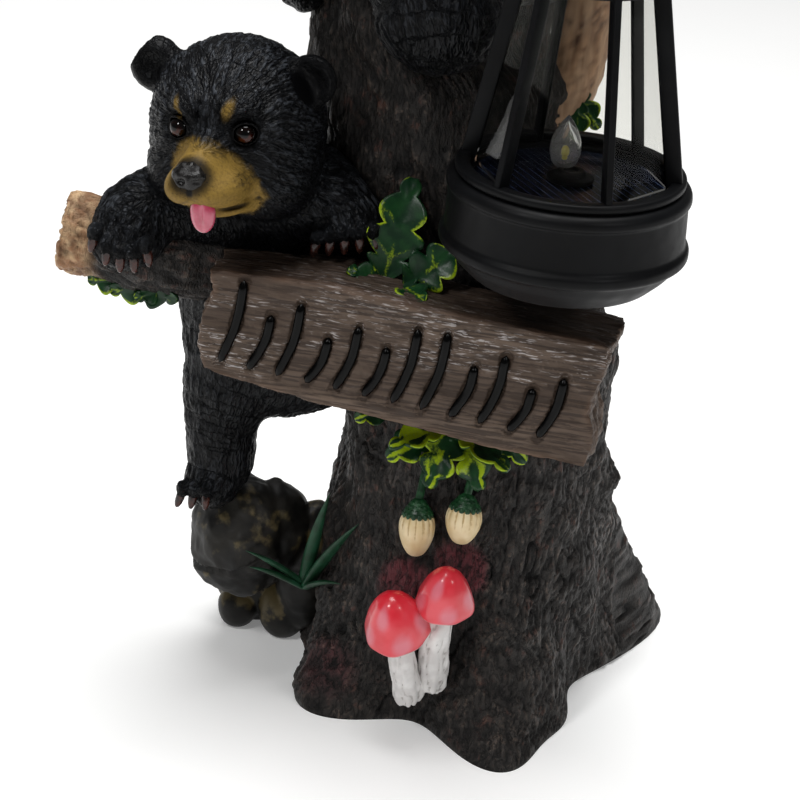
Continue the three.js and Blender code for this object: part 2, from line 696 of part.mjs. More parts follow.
// Roof with a moulded loop that the limb passes through
function lanternCap(group) {
  const z = GLASS.top + CLEARANCE;
  const roof = upright(CAP_PROFILE, z);
  const loopHeight = LANTERN_HANG.z - LANTERN_AT[2] + HANG_LIMB_RADIUS + CLEARANCE - LOOP.inner;
  const ring = new THREE.TorusGeometry(LOOP.inner + LOOP.tube, LOOP.tube, LOOP.tubeSides, LOOP.sides);
  const turn = -radians(LANTERN_TURN);
  const loop = toSolid(ring.rotateX(Math.PI / 2).rotateZ(turn).translate(0, 0, loopHeight));
  add(group, "lantern_cap", roof.add(loop), FINISH.plastic);
}

function lantern() {
  const group = new THREE.Group();
  lanternPan(group);
  lanternCell(group);
  lanternLamp(group);
  lanternGlass(group);
  lanternFrame(group);
  lanternCap(group);
  group.position.set(...LANTERN_AT);
  group.rotation.z = radians(LANTERN_TURN);
  return group;
}

const statue = new THREE.Group();
add(statue, "statue", casting(), FINISH.resin);
statue.add(lantern());

export default statue;
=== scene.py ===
import math

import bpy
import numpy as np
from mathutils import Matrix, Vector


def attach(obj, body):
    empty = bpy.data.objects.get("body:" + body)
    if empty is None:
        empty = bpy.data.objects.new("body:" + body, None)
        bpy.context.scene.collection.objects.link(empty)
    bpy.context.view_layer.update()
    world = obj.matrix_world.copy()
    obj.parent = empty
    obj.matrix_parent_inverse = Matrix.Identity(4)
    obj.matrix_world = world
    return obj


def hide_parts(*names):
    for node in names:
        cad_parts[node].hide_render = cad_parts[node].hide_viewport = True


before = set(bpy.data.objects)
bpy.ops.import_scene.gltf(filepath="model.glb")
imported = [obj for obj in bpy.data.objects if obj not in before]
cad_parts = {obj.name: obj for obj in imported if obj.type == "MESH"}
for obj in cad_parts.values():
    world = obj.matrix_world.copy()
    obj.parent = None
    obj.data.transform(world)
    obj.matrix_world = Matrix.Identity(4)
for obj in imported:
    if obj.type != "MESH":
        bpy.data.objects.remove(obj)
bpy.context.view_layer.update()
mm = 0.001  # all sizes below are in millimetres
print("frame loaded:", ", ".join(sorted(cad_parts)))


# Node wires, paints and masks
class Wire:  # a socket of a node tree; sums with numbers or other wires add Math nodes
    def __init__(self, tree, socket=None):
        self.tree = tree
        self.socket = socket

    def node(self, kind, settings=None, inputs=None, out=0):
        made = self.tree.nodes.new(kind)
        for name, value in (settings or {}).items():
            setattr(made, name, value)
        for key, value in (inputs or {}).items():
            if isinstance(value, Wire):
                self.tree.links.new(value.socket, made.inputs[key])
            else:
                made.inputs[key].default_value = value
        return Wire(self.tree, made.outputs[out])

    def maths(self, operation, first, second=0.0):
        return self.node("ShaderNodeMath", {"operation": operation}, {0: first, 1: second})

    def __add__(self, other):
        return self.maths("ADD", self, other)

    def __sub__(self, other):
        return self.maths("SUBTRACT", self, other)

    def __rsub__(self, other):
        return self.maths("SUBTRACT", other, self)

    def __mul__(self, other):
        return self.maths("MULTIPLY", self, other)

    def __truediv__(self, other):
        return self.maths("DIVIDE", self, other)

    __radd__ = __add__
    __rmul__ = __mul__


def tint(code):  # paint colour from its hex code
    parts = [int(code[i:i + 2], 16) / 255 for i in (0, 2, 4)]
    return (*[c / 12.92 if c <= 0.04045 else ((c + 0.055) / 1.055) ** 2.4 for c in parts], 1.0)


def paint(name, values):  # values that are the same all over go straight on the shader
    material = bpy.data.materials.new(name)
    material.use_nodes = True
    shader = material.node_tree.nodes["Principled BSDF"]
    for key, value in values.items():
        shader.inputs[key].default_value = value
    return material, Wire(material.node_tree), shader


def coated(material, shader, colour=None, rough=None, relief=None):  # what varies is wired to the shader
    for key, wire in (("Base Color", colour), ("Roughness", rough), ("Normal", relief)):
        if wire:
            wire.tree.links.new(wire.socket, shader.inputs[key])
    return material


def mask(start, name):  # a mask kept on the mesh's points
    return start.node("ShaderNodeAttribute", {"attribute_name": name}, out=2)


def speckle(start, size, detail=3.0, stretch=(1, 1, 1), shift=0.0):  # noise with grains of that size
    place = start.node("ShaderNodeTexCoord", out=3)
    spread = start.node("ShaderNodeMapping", None, {0: place, 1: (shift, shift, shift), 3: stretch})
    sizes = {"Vector": spread, "Scale": 1 / (size * mm), "Detail": detail}
    return start.node("ShaderNodeTexNoise", None, sizes)


def ramp(wire, low, high):  # a soft step from nothing to one
    return wire.node("ShaderNodeMapRange", {"interpolation_type": "SMOOTHSTEP"}, {0: wire, 1: low, 2: high})


def mixed(share, first, second):  # two colours by a mask
    return share.node("ShaderNodeMix", {"data_type": "RGBA"}, {0: share, 6: first, 7: second}, out=2)


def bump(height, strength, depth):
    return height.node("ShaderNodeBump", None, {"Strength": strength, "Distance": depth * mm, "Height": height})


# Shapes worked out on arrays of points
def smooth(low, high, x):
    t = np.clip((x - low) / (high - low), 0, 1)
    return t * t * (3 - 2 * t)


def unit(v):
    return v / np.maximum(np.linalg.norm(v, axis=-1, keepdims=True), 1e-9)


def noise(p, size, seed=0):  # smooth random values from -1 to 1
    q = np.asarray(p, np.float32) / size
    base = np.floor(q).astype(np.int64)
    f = q - base
    f = f * f * (3 - 2 * f)
    total = np.zeros(len(q), np.float32)
    for corner in range(8):  # each corner of the grid cell has a fixed value scrambled from its place
        step = [corner & 1, corner >> 1 & 1, corner >> 2 & 1]
        key = (base[:, 0] + step[0]) * 73856093 ^ (base[:, 1] + step[1]) * 19349663
        key = (key ^ (base[:, 2] + step[2]) * 83492791) + seed * 2654435761
        key = (key ^ key >> 15) * 2246822519
        key = (key ^ key >> 13) * 3266489917
        value = ((key >> 9) & 65535) / 32767.5 - 1
        share = 1.0
        for axis in range(3):
            share = share * (f[:, axis] if step[axis] else 1 - f[:, axis])
        total += (value * share).astype(np.float32)
    return total


def drift(p, size, seed):  # a wandering direction
    return np.stack([noise(p, size, seed + i) for i in range(3)], 1)


def rugged(p, size, octaves, seed=0):  # noise with finer noise on top
    return sum(noise(p, size / 2 ** i, seed + i) / 2 ** i for i in range(octaves))


def streaks(p, flow, width, length, seed=0, taps=9):  # noise drawn out along the flow, spread of one
    total = sum(noise(p + flow * (length * (k / (taps - 1) - 0.5)), width, seed) for k in range(taps))
    return total / total.std()


def smoothMin(a, b, k):
    h = np.maximum(k - np.abs(a - b), 0) / k
    return np.minimum(a, b) - h * h * k / 4


def smoothMax(a, b, k):
    return -smoothMin(-a, -b, k)


def ball(p, at, radii):
    r = np.array(radii, np.float32)
    q = (p - np.array(at, np.float32)) / r
    k = np.linalg.norm(q, axis=1)
    return k * (k - 1) / np.maximum(np.linalg.norm(q / r, axis=1), 1e-6)


def spline(rows, steps):  # rows of x, y, z, radius made denser on a smooth curve
    r = np.array(rows, float)
    r = np.vstack([2 * r[0] - r[1], r, 2 * r[-1] - r[-2]])
    t = np.linspace(0, 1, steps, endpoint=False)[:, None]
    spans = [0.5 * (2 * b + (c - a) * t + (2 * a - 5 * b + 4 * c - d) * t ** 2
                    + (3 * b - a - 3 * c + d) * t ** 3)
             for a, b, c, d in zip(r, r[1:], r[2:], r[3:])]
    return np.vstack([*spans, r[-2:-1]]).astype(np.float32)


def limb(p, rows):  # distance to a tapering round limb
    best = np.full(len(p), 1e9, np.float32)
    for a, b in zip(rows, rows[1:]):
        along = b[:3] - a[:3]
        t = np.clip((p - a[:3]) @ along / (along @ along), 0, 1)
        d = np.linalg.norm(p - a[:3] - t[:, None] * along, axis=1) - (a[3] + t * (b[3] - a[3]))
        best = np.minimum(best, d)
    return best


def skin(field, low, high, cell, skip=4):  # closed quads where the field is zero
    low = np.array(low, np.float32)
    counts = np.ceil((np.array(high) - low) / cell / skip).astype(int) * skip + 1
    axes = [(low[i] + cell * np.arange(counts[i])).astype(np.float32) for i in range(3)]
    rough = field(np.stack(np.meshgrid(*[a[::skip] for a in axes], indexing="ij"), -1).reshape(-1, 3))
    rough = rough.reshape([len(a[::skip]) for a in axes])
    near = np.ix_(*[np.rint(np.arange(n) / skip).astype(int) for n in counts])
    d = np.where(rough > 0, 1e3, -1e3).astype(np.float32)[near]
    band = np.nonzero((np.abs(rough) < cell * skip * 1.9)[near])
    d[band] = field(np.stack([axes[i][band[i]] for i in range(3)], 1))
    inside = d < 0
    n0, n1, n2 = [n - 1 for n in counts]
    corners = [(i, j, k) for i in (0, 1) for j in (0, 1) for k in (0, 1)]
    filled = sum(inside[i:i + n0, j:j + n1, k:k + n2].astype(np.uint8) for i, j, k in corners)
    cells = np.nonzero((filled > 0) & (filled < 8))
    ids = np.full((n0, n1, n2), -1, np.int64)
    ids[cells] = np.arange(len(cells[0]))
    total = np.zeros((len(cells[0]), 3), np.float32)
    crossings = np.zeros(len(cells[0]), np.float32)
    for a in corners:
        for axis in range(3):
            if a[axis] == 0:
                b = tuple(a[i] + (i == axis) for i in range(3))
                da = d[cells[0] + a[0], cells[1] + a[1], cells[2] + a[2]]
                db = d[cells[0] + b[0], cells[1] + b[1], cells[2] + b[2]]
                cut = (da < 0) != (db < 0)
                t = np.where(cut, da / np.where(cut, da - db, 1), 0)
                spot = np.array(a, np.float32) + t[:, None] * np.eye(3, dtype=np.float32)[axis]
                total += np.where(cut[:, None], spot, 0)
                crossings += cut
    points = low + cell * (np.stack(cells, 1) + total / crossings[:, None])
    faces = []
    for axis in range(3):
        u, v = (axis + 1) % 3, (axis + 2) % 3
        first = [slice(1, -1)] * 3
        first[axis] = slice(0, -1)
        second = list(first)
        second[axis] = slice(1, None)
        a, b = inside[tuple(first)], inside[tuple(second)]
        for sign, hit in ((1, a & ~b), (-1, b & ~a)):
            spot = np.stack(np.nonzero(hit), 1)
            for i in range(3):
                spot[:, i] += 0 if i == axis else 1
            back = np.eye(3, dtype=int)
            ring = [spot - back[u] - back[v], spot - back[v], spot, spot - back[u]][::sign]
            faces.append(np.stack([ids[tuple(r.T)] for r in ring], 1))
    return points, np.vstack(faces)


def normalsOf(points, faces):
    across = np.cross(points[faces[:, 2]] - points[faces[:, 0]], points[faces[:, 3]] - points[faces[:, 1]])
    total = np.stack([sum(np.bincount(faces[:, k], across[:, i], len(points)) for k in range(4))
                      for i in range(3)], 1)
    return unit(total).astype(np.float32)


def wrap(rings, lowPole=None, highPole=None):  # rings of equal count as a closed skin
    rings = np.asarray(rings, np.float32)
    rows, sides = rings.shape[:2]
    lowPole = rings[0].mean(0) if lowPole is None else lowPole
    highPole = rings[-1].mean(0) if highPole is None else highPole
    points = np.vstack([rings.reshape(-1, 3), [lowPole], [highPole]]).astype(np.float32)
    i = np.repeat(np.arange(rows - 1), sides) * sides
    j = np.tile(np.arange(sides), rows - 1)
    k = (j + 1) % sides
    quads = np.stack([i + j, i + k, i + sides + k, i + sides + j], 1)
    j = np.arange(sides)
    k = (j + 1) % sides
    last = (rows - 1) * sides
    lowFan = np.stack([np.full(sides, rows * sides), k, j, j], 1)
    highFan = np.stack([np.full(sides, rows * sides + 1), last + j, last + k, last + k], 1)
    return points, np.vstack([quads, lowFan, highFan])


def lathe(profile, sides):  # radius and height rows turned about z, poles on the axis
    turn = np.linspace(0, 2 * math.pi, sides, endpoint=False)
    ring = np.stack([np.cos(turn), np.sin(turn), np.zeros(sides)], 1)
    rows = np.array(profile, float)
    rings = rows[1:-1, 0, None, None] * ring + rows[1:-1, 1, None, None] * np.array([0, 0, 1.0])
    return wrap(rings, [0, 0, rows[0, 1]], [0, 0, rows[-1, 1]])


def softened(profile, radius, steps=4):  # a profile with its corners rounded
    rows = np.array(profile, float)
    out = [rows[0]]
    for a, b, c in zip(rows, rows[1:], rows[2:]):
        r = min(radius, 0.45 * np.linalg.norm(b - a), 0.45 * np.linalg.norm(c - b))
        start, end = b + unit(a - b) * r, b + unit(c - b) * r
        out += [(1 - t) ** 2 * start + 2 * t * (1 - t) * b + t * t * end for t in np.linspace(0, 1, steps)]
    return np.array([*out, rows[-1]])


def tube(rows, sides, steps):  # rings round a smooth path, and the way ahead at each
    path = spline(rows, steps)
    ahead = unit(np.gradient(path[:, :3], axis=0))
    side = np.cross(ahead[0], [0.3, 0.9, 0.2])
    rings = []
    turn = np.linspace(0, 2 * math.pi, sides, endpoint=False)[:, None]
    for spot, forward in zip(path, ahead):
        side = unit(side - forward * (side @ forward))
        up = np.cross(forward, side)
        rings.append(spot[:3] + spot[3] * (np.cos(turn) * side + np.sin(turn) * up))
    return np.array(rings), ahead


def aimed(points, base, tip, facing=(0, -1, 0)):  # a shape standing on z carried to a base, pointing at a tip
    along = unit(np.array(tip, float) - base)
    side = unit(np.cross(along, facing))
    front = np.cross(side, along)
    return points @ np.stack([side, -front, along]) + np.array(base, float)


def joined(*shapes):
    counts = np.cumsum([0] + [len(p) for p, f in shapes])
    return np.vstack([p for p, f in shapes]), np.vstack([f + c for (p, f), c in zip(shapes, counts)])


def closedGrid(rows, sides):  # faces of a grid that closes both ways
    i, j = [g.ravel() for g in np.meshgrid(np.arange(rows), np.arange(sides), indexing="ij")]
    nextRow, nextSide = (i + 1) % rows, (j + 1) % sides
    return np.stack([i * sides + j, i * sides + nextSide, nextRow * sides + nextSide, nextRow * sides + j], 1)


def flipped(faces):  # the same faces looking the other way
    return np.where((faces[:, 2] == faces[:, 3])[:, None], faces[:, [0, 2, 1, 1]], faces[:, ::-1])


def show(mesh, name, material, stands="statue", slot="painted_resin"):  # a mesh becomes a piece
    mesh.materials.clear()
    mesh.materials.append(material)
    mesh.shade_smooth()
    piece = bpy.data.objects.new(name, mesh)
    bpy.context.scene.collection.objects.link(piece)
    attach(piece, "root")
    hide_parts(stands)
    print("made", name, len(mesh.polygons), "faces")
    return piece


def build(name, shape, material, masks=None, stands="statue", slot="painted_resin"):
    points, faces = shape
    mesh = bpy.data.meshes.new(name)
    mesh.from_pydata((np.asarray(points) * mm).tolist(), [],
                     [f if f[2] != f[3] else f[:3] for f in faces.tolist()])
    for key, values in (masks or {}).items():
        layer = mesh.attributes.new(key, "FLOAT", "POINT")
        layer.data.foreach_set("value", np.ascontiguousarray(values, np.float32))
    mesh.validate()
    return show(mesh, name, material, stands, slot)


# Geometry trees for what repeats or follows a path
def geometryTree(name, sizes):
    tree = bpy.data.node_groups.new(name, "GeometryNodeTree")
    tree.interface.new_socket("Geometry", in_out="INPUT", socket_type="NodeSocketGeometry")
    for key in sizes:
        tree.interface.new_socket(key, in_out="INPUT", socket_type="NodeSocketFloat")
    tree.interface.new_socket("Material", in_out="INPUT", socket_type="NodeSocketMaterial")
    tree.interface.new_socket("Geometry", in_out="OUTPUT", socket_type="NodeSocketGeometry")
    entry = tree.nodes.new("NodeGroupInput")
    return tree, {s.name: Wire(tree, s) for s in entry.outputs if s.name}


def closeTree(tree, shape, entry):
    real = shape.node("GeometryNodeRealizeInstances", None, {0: shape})
    painted = shape.node("GeometryNodeSetMaterial", None, {"Geometry": real, "Material": entry["Material"]})
    leave = tree.nodes.new("NodeGroupOutput")
    tree.links.new(painted.socket, leave.inputs[0])
    return tree


def grow(tree, points, edges, layers, sizes, material):  # runs a tree and keeps its result as a plain mesh
    seed = bpy.data.meshes.new("seed")
    seed.from_pydata((np.asarray(points, float) * mm).tolist(), edges, [])
    for key, values in layers.items():
        values = np.asarray(values, np.float32)
        kind = "FLOAT_VECTOR" if values.ndim == 2 else "FLOAT"
        layer = seed.attributes.new(key, kind, "POINT")
        layer.data.foreach_set("vector" if values.ndim == 2 else "value", values.ravel())
    holder = bpy.data.objects.new("seed", seed)
    bpy.context.scene.collection.objects.link(holder)
    step = holder.modifiers.new("grow", "NODES")
    step.node_group = tree
    for item in tree.interface.items_tree:
        if item.in_out == "INPUT" and item.name in sizes:
            step[item.identifier] = sizes[item.name]
        if item.in_out == "INPUT" and item.name == "Material":
            step[item.identifier] = material
    graph = bpy.context.evaluated_depsgraph_get()
    mesh = bpy.data.meshes.new_from_object(holder.evaluated_get(graph), preserve_all_data_layers=True,
                                           depsgraph=graph)
    holder.modifiers.remove(step)
    bpy.data.objects.remove(holder)
    return mesh


def strokeTree():  # a round or flattened bead along each edge path, as thick as its points say
    tree, entry = geometryTree("stroke", ("Flatness", "Sides"))
    start = Wire(tree)
    path = start.node("GeometryNodeMeshToCurve", None, {0: entry["Geometry"]})
    thick = start.node("GeometryNodeInputNamedAttribute", {"data_type": "FLOAT"}, {"Name": "thick"})
    ring = start.node("GeometryNodeCurvePrimitiveCircle", None, {"Resolution": entry["Sides"], "Radius": 1.0})
    scale = start.node("ShaderNodeCombineXYZ", None, {0: 1.0, 1: 1 - entry["Flatness"], 2: 1.0})
    ring = start.node("GeometryNodeTransform", None, {"Geometry": ring, "Scale": scale})
    bead = start.node("GeometryNodeCurveToMesh", None,
                      {"Curve": path, "Profile Curve": ring, "Scale": thick * mm, "Fill Caps": True})
    return closeTree(tree, bead, entry)


def studTree():  # a long rounded stud on each point, aimed where the point says
    tree, entry = geometryTree("stud", ("Length", "Width", "Depth", "Taper", "Bend"))
    start = Wire(tree)
    stud = start.node("GeometryNodeMeshUVSphere", None, {"Segments": 8, "Rings": 6, "Radius": 1.0})
    place = start.node("GeometryNodeInputPosition")
    x, y, z = [start.node("ShaderNodeSeparateXYZ", None, {0: place}, out=i) for i in range(3)]
    narrow = 1 - entry["Taper"] * (z + 1) / 2
    shaped = start.node("ShaderNodeCombineXYZ", None, {
        0: x * narrow * entry["Width"] / 2,
        1: y * narrow * entry["Depth"] / 2 - entry["Bend"] * z * z,
        2: (z + 1) * entry["Length"] / 2})
    stud = start.node("GeometryNodeSetPosition", None, {"Geometry": stud, "Position": shaped})
    aim = start.node("GeometryNodeInputNamedAttribute", {"data_type": "FLOAT_VECTOR"}, {"Name": "aim"})
    face = start.node("GeometryNodeInputNamedAttribute", {"data_type": "FLOAT_VECTOR"}, {"Name": "face"})
    turn = start.node("FunctionNodeAxesToRotation", {"primary_axis": "Z", "secondary_axis": "Y"},
                      {"Primary Axis": aim, "Secondary Axis": face})
    row = start.node("GeometryNodeInstanceOnPoints", None,
                     {"Points": entry["Geometry"], "Instance": stud, "Rotation": turn})
    return closeTree(tree, row, entry)


def ribTree():  # rounded bars leaning in from a foot circle to a head circle, spaced evenly about z
    tree, entry = geometryTree("rib", ("Count", "Foot", "Head", "Low", "High", "Width", "Depth", "Edge"))
    start = Wire(tree)
    low = start.node("ShaderNodeCombineXYZ", None, {0: entry["Foot"], 1: 0.0, 2: entry["Low"]})
    high = start.node("ShaderNodeCombineXYZ", None, {0: entry["Head"], 1: 0.0, 2: entry["High"]})
    line = start.node("GeometryNodeCurvePrimitiveLine", None, {"Start": low, "End": high})
    section = start.node("GeometryNodeCurvePrimitiveQuadrilateral", None,
                         {"Width": entry["Depth"], "Height": entry["Width"]})
    section = start.node("GeometryNodeFilletCurve", {"mode": "POLY"},
                         {"Curve": section, "Count": 3, "Radius": entry["Edge"]})
    bar = start.node("GeometryNodeCurveToMesh", None,
                     {"Curve": line, "Profile Curve": section, "Fill Caps": True})
    spots = start.node("GeometryNodePoints", None, {"Count": entry["Count"]})
    index = start.node("GeometryNodeInputIndex")
    step = index * (2 * math.pi) / entry["Count"]
    swing = start.node("ShaderNodeCombineXYZ", None, {0: 0.0, 1: 0.0, 2: step})
    turn = start.node("FunctionNodeEulerToRotation", None, {0: swing})
    row = start.node("GeometryNodeInstanceOnPoints", None, {"Points": spots, "Instance": bar, "Rotation": turn})
    return closeTree(tree, row, entry)


strokes, studs, ribs = strokeTree(), studTree(), ribTree()


def beads(name, paths, thick, flatness, sides, material):  # one bead along each path
    starts = np.cumsum([0] + [len(path) for path in paths]).tolist()
    edges = [(s + i, s + i + 1) for s, path in zip(starts, paths) for i in range(len(path) - 1)]
    mesh = grow(strokes, np.vstack(paths), edges, {"thick": np.concatenate(thick)},
                {"Flatness": flatness, "Sides": sides}, material)
    show(mesh, name, material)


def studded(name, spots, aims, faces, sizes, material):  # one stud on each spot
    show(grow(studs, spots, [], {"aim": aims, "face": faces}, sizes, material), name, material)


print("geometry trees ready")


# Paints of the casting
furAxes = "lieX", "lieY", "lieZ"  # place on the coat, drawn out along the hair


def furPaint():
    material, start, shader = paint("black fur", {"Specular IOR Level": 0.12})
    strand, bald, tan, sootAndShade = [mask(start, key) for key in ("strand", "bald", "tan", "sootAndShade")]
    lie = start.node("ShaderNodeCombineXYZ", None, {i: mask(start, key) for i, key in enumerate(furAxes)})
    hair = start.node("ShaderNodeTexNoise", None, {"Vector": lie, "Scale": 1.0, "Detail": 1.0})
    hair = ramp(hair, 0.36, 0.66) * (1 - bald)
    # strand tops lighter grey, partly dry-brush and partly painted sheen, brightest where the strand mask carries
    # painted top light
    fur = mixed(hair * (0.1 + strand * 0.9), tint("020203"), tint("383b40"))
    dust = ramp(speckle(start, 0.9, 2.0), 0.35, 0.75)
    ochre = mixed(dust * 0.5, tint("846a32"), tint("584522"))
    grime = ramp(speckle(start, 0.45, 2.0, shift=0.4), 0.62, 0.72) * 0.6
    # near-black over the ochre: soot round the nose, painted shade along the mouth groove, dark dots at the pits,
    # and grime
    ochre = mixed(sootAndShade + grime, ochre, tint("0f0d0b"))
    edge = ramp(tan + speckle(start, 0.5, 2.0) * 0.3 - 0.15, 0.1, 0.9)
    return coated(material, shader, mixed(edge, fur, ochre), 0.44 + edge * 0.1 - hair * 0.16,
                  bump(hair + speckle(start, 0.5) * 0.25, 0.75, 0.42))


def barkPaint():
    material, start, shader = paint("charred bark", {"Specular IOR Level": 0.26})
    ridge, rose, bare = mask(start, "ridge"), mask(start, "rose"), mask(start, "bare")
    patch = ramp(speckle(start, 22), 0.4, 0.65)
    grit = ramp(speckle(start, 1.6, 4.0), 0.45, 0.7)
    vein = start.maths("ABSOLUTE", speckle(start, 2.2, 4.0, stretch=(1, 1, 0.3)) - 0.5)
    split = ramp(vein, 0.0, 0.06)
    coat = mixed(ridge, tint("0d0c0c"), tint("302c29"))
    coat = mixed(ramp(ridge, 0.55, 0.95) * grit * (0.25 + patch * 0.6), coat, tint("62544a"))
    rust = ramp(speckle(start, 5, 3.0, shift=0.3), 0.56, 0.7) * ramp(ridge, 0.4, 0.8)
    coat = mixed(rust * 0.4, coat, tint("5a3226"))
    coat = mixed(ramp(rose * (0.3 + ridge * 0.9), 0.15, 0.95) * 0.42, coat, tint("83303d"))
    coat = mixed((1 - split) * 0.7, coat, tint("060505"))
    wood = mixed(ramp(speckle(start, 4, 4.0), 0.35, 0.7), tint("946c4c"), tint("d6b48c"))
    coat = mixed(bare * (0.35 + ridge * 0.65), coat, wood)
    fibre = speckle(start, 0.5, 4.0, stretch=(1, 1, 0.3)) + speckle(start, 1.1, 4.0) + split * 0.5
    return coated(material, shader, coat, 0.66 - ridge * 0.26, bump(fibre, 0.8, 0.5))


def rawWoodPaint():  # the limb behind the lantern, red-brown with a long grain
    material, start, shader = paint("raw limb", {"Specular IOR Level": 0.35})
    ridge = mask(start, "ridge")
    streak = ramp(speckle(start, 3, 4.0, stretch=(1, 1, 0.15)), 0.35, 0.7)
    coat = mixed(ridge, tint("563c2e"), tint("b8906f"))
    coat = mixed(streak * 0.6, coat, tint("cfac8c"))
    return coated(material, shader, coat, 0.7 - ridge * 0.15,
                  bump(speckle(start, 0.9, 3.0, stretch=(1, 1, 0.2)), 0.4, 0.3))


def signPaint():
    material, start, shader = paint("weathered plank", {"Specular IOR Level": 0.25})
    grain, worn, top, brush = [mask(start, key) for key in ("ridge", "worn", "top", "brush")]
    cloud = ramp(speckle(start, 26, 3.0, stretch=(0.4, 1, 1)), 0.35, 0.7)
    coat = mixed(cloud, tint("5a4b40"), tint("6d5d50"))
    line = ramp(speckle(start, 1.0, 4.0, stretch=(0.05, 1, 1), shift=0.5), 0.4, 0.58)
    coat = mixed(0.85 - line * (0.3 + grain * 0.55), coat, tint("2f241d"))
    # painted shade: faces turned up are darkened
    coat = mixed(top * 0.5, coat, tint("2f241e"))
    fleck = ramp(speckle(start, 0.55, 3.0, stretch=(0.12, 1, 1), shift=0.2), 0.53, 0.66)
    fleck = fleck * ramp(speckle(start, 9, 3.0, stretch=(0.35, 1, 1), shift=0.7) + brush * 0.3, 0.56, 0.8)
    # fewer whitewash flecks on faces turned up, part of the painted shade there
    coat = mixed(fleck * ramp(grain, 0.25, 0.7) * (1 - top * 0.5) * 0.7, coat, tint("b9b3b1"))
    coat = mixed(worn * 0.5, coat, tint("6d5341"))
    return coated(material, shader, coat, 0.62 - grain * 0.14,
                  bump(line + speckle(start, 0.6, 3.0, stretch=(0.15, 1, 1)), 0.5, 0.3))


def glossPaint(name, dark, light, grain, rough, shine=0.5, coat=0.0, relief=0.15):  # enamel with soft mottling
    material, start, shader = paint(name, {"Specular IOR Level": shine, "Coat Weight": coat,
                                           "Coat Roughness": 0.08})
    cloud = ramp(speckle(start, grain), 0.3, 0.7)
    return coated(material, shader, mixed(cloud, tint(dark), tint(light)), rough + cloud * 0.1,
                  bump(speckle(start, grain * 0.3), relief, 0.2))


def maskedPaint(name, under, over, key, rough, shine=0.5, grain=1.2):  # a second colour brushed on by a mask
    material, start, shader = paint(name, {"Specular IOR Level": shine})
    dab = ramp(mask(start, key) + speckle(start, grain) * 0.7 - 0.35, 0.3, 0.75)
    base = mixed(ramp(speckle(start, grain * 5), 0.35, 0.7), tint(under[0]), tint(under[1]))
    return coated(material, shader, mixed(dab, base, tint(over)), rough + (1 - dab) * 0.08,
                  bump(speckle(start, grain * 0.6), 0.2, 0.2))


def capPaint():  # red enamel with soft lilac spots and a pale rim
    material, start, shader = paint("mushroom red", {"Coat Weight": 0.5, "Coat Roughness": 0.12})
    cloud = ramp(speckle(start, 14), 0.35, 0.7)
    coat = mixed(cloud, tint("d81f30"), tint("e34753"))
    coat = mixed(mask(start, "spot") * 0.36, coat, tint("d3a3b4"))
    coat = mixed(mask(start, "rim"), coat, tint("e6c9c6"))
    return coated(material, shader, coat, 0.3 + cloud * 0.1, bump(speckle(start, 3), 0.1, 0.2))


def eyePaint():
    material, start, shader = paint("eye", {"Roughness": 0.05, "Specular IOR Level": 0.28})
    coat = mixed(mask(start, "iris"), tint("020202"), tint("451709"))
    flecks = ramp(speckle(start, 0.5), 0.4, 0.7)
    return coated(material, shader, mixed(flecks * mask(start, "iris") * 0.5, coat, tint("2a0d08")))


furBlack, barkBlack, limbBrown, plankBrown = furPaint(), barkPaint(), rawWoodPaint(), signPaint()
capRed, eyeDark = capPaint(), eyePaint()
strokeBlack = glossPaint("stroke black", "010101", "040404", 3, 0.16, 0.12)
clawBrown = glossPaint("claw brown", "160a08", "44221b", 2.5, 0.14, 0.4)
noseBlack = glossPaint("nose black", "060505", "1b1918", 1.4, 0.24, 0.3, relief=0.6)
tonguePink = glossPaint("tongue pink", "a8324c", "bc4e68", 4, 0.16, 0.5, 0.9)
leafGreen = maskedPaint("oak leaf", ("0b2c17", "163f1d"), "9cb51a", "vein", 0.26, 0.3, 0.8)
grassGreen = maskedPaint("grass blade", ("12331f", "1f4a33"), "4a7a5c", "vein", 0.34, 0.3)
acornCream = maskedPaint("acorn nut", ("dac292", "ebd8b0"), "b89a68", "groove", 0.36)
acornGreen = glossPaint("acorn cap", "0c2d17", "1c4a28", 2, 0.32, 0.4, relief=0.3)
stemWhite = maskedPaint("mushroom stem", ("d6d3d1", "ebe9e7"), "aaa4a1", "groove", 0.5)
rockGrey = maskedPaint("river rock", ("100f0e", "24221e"), "5c5136", "ridge", 0.42, 0.25, 2.0)
print("paints of the casting ready")

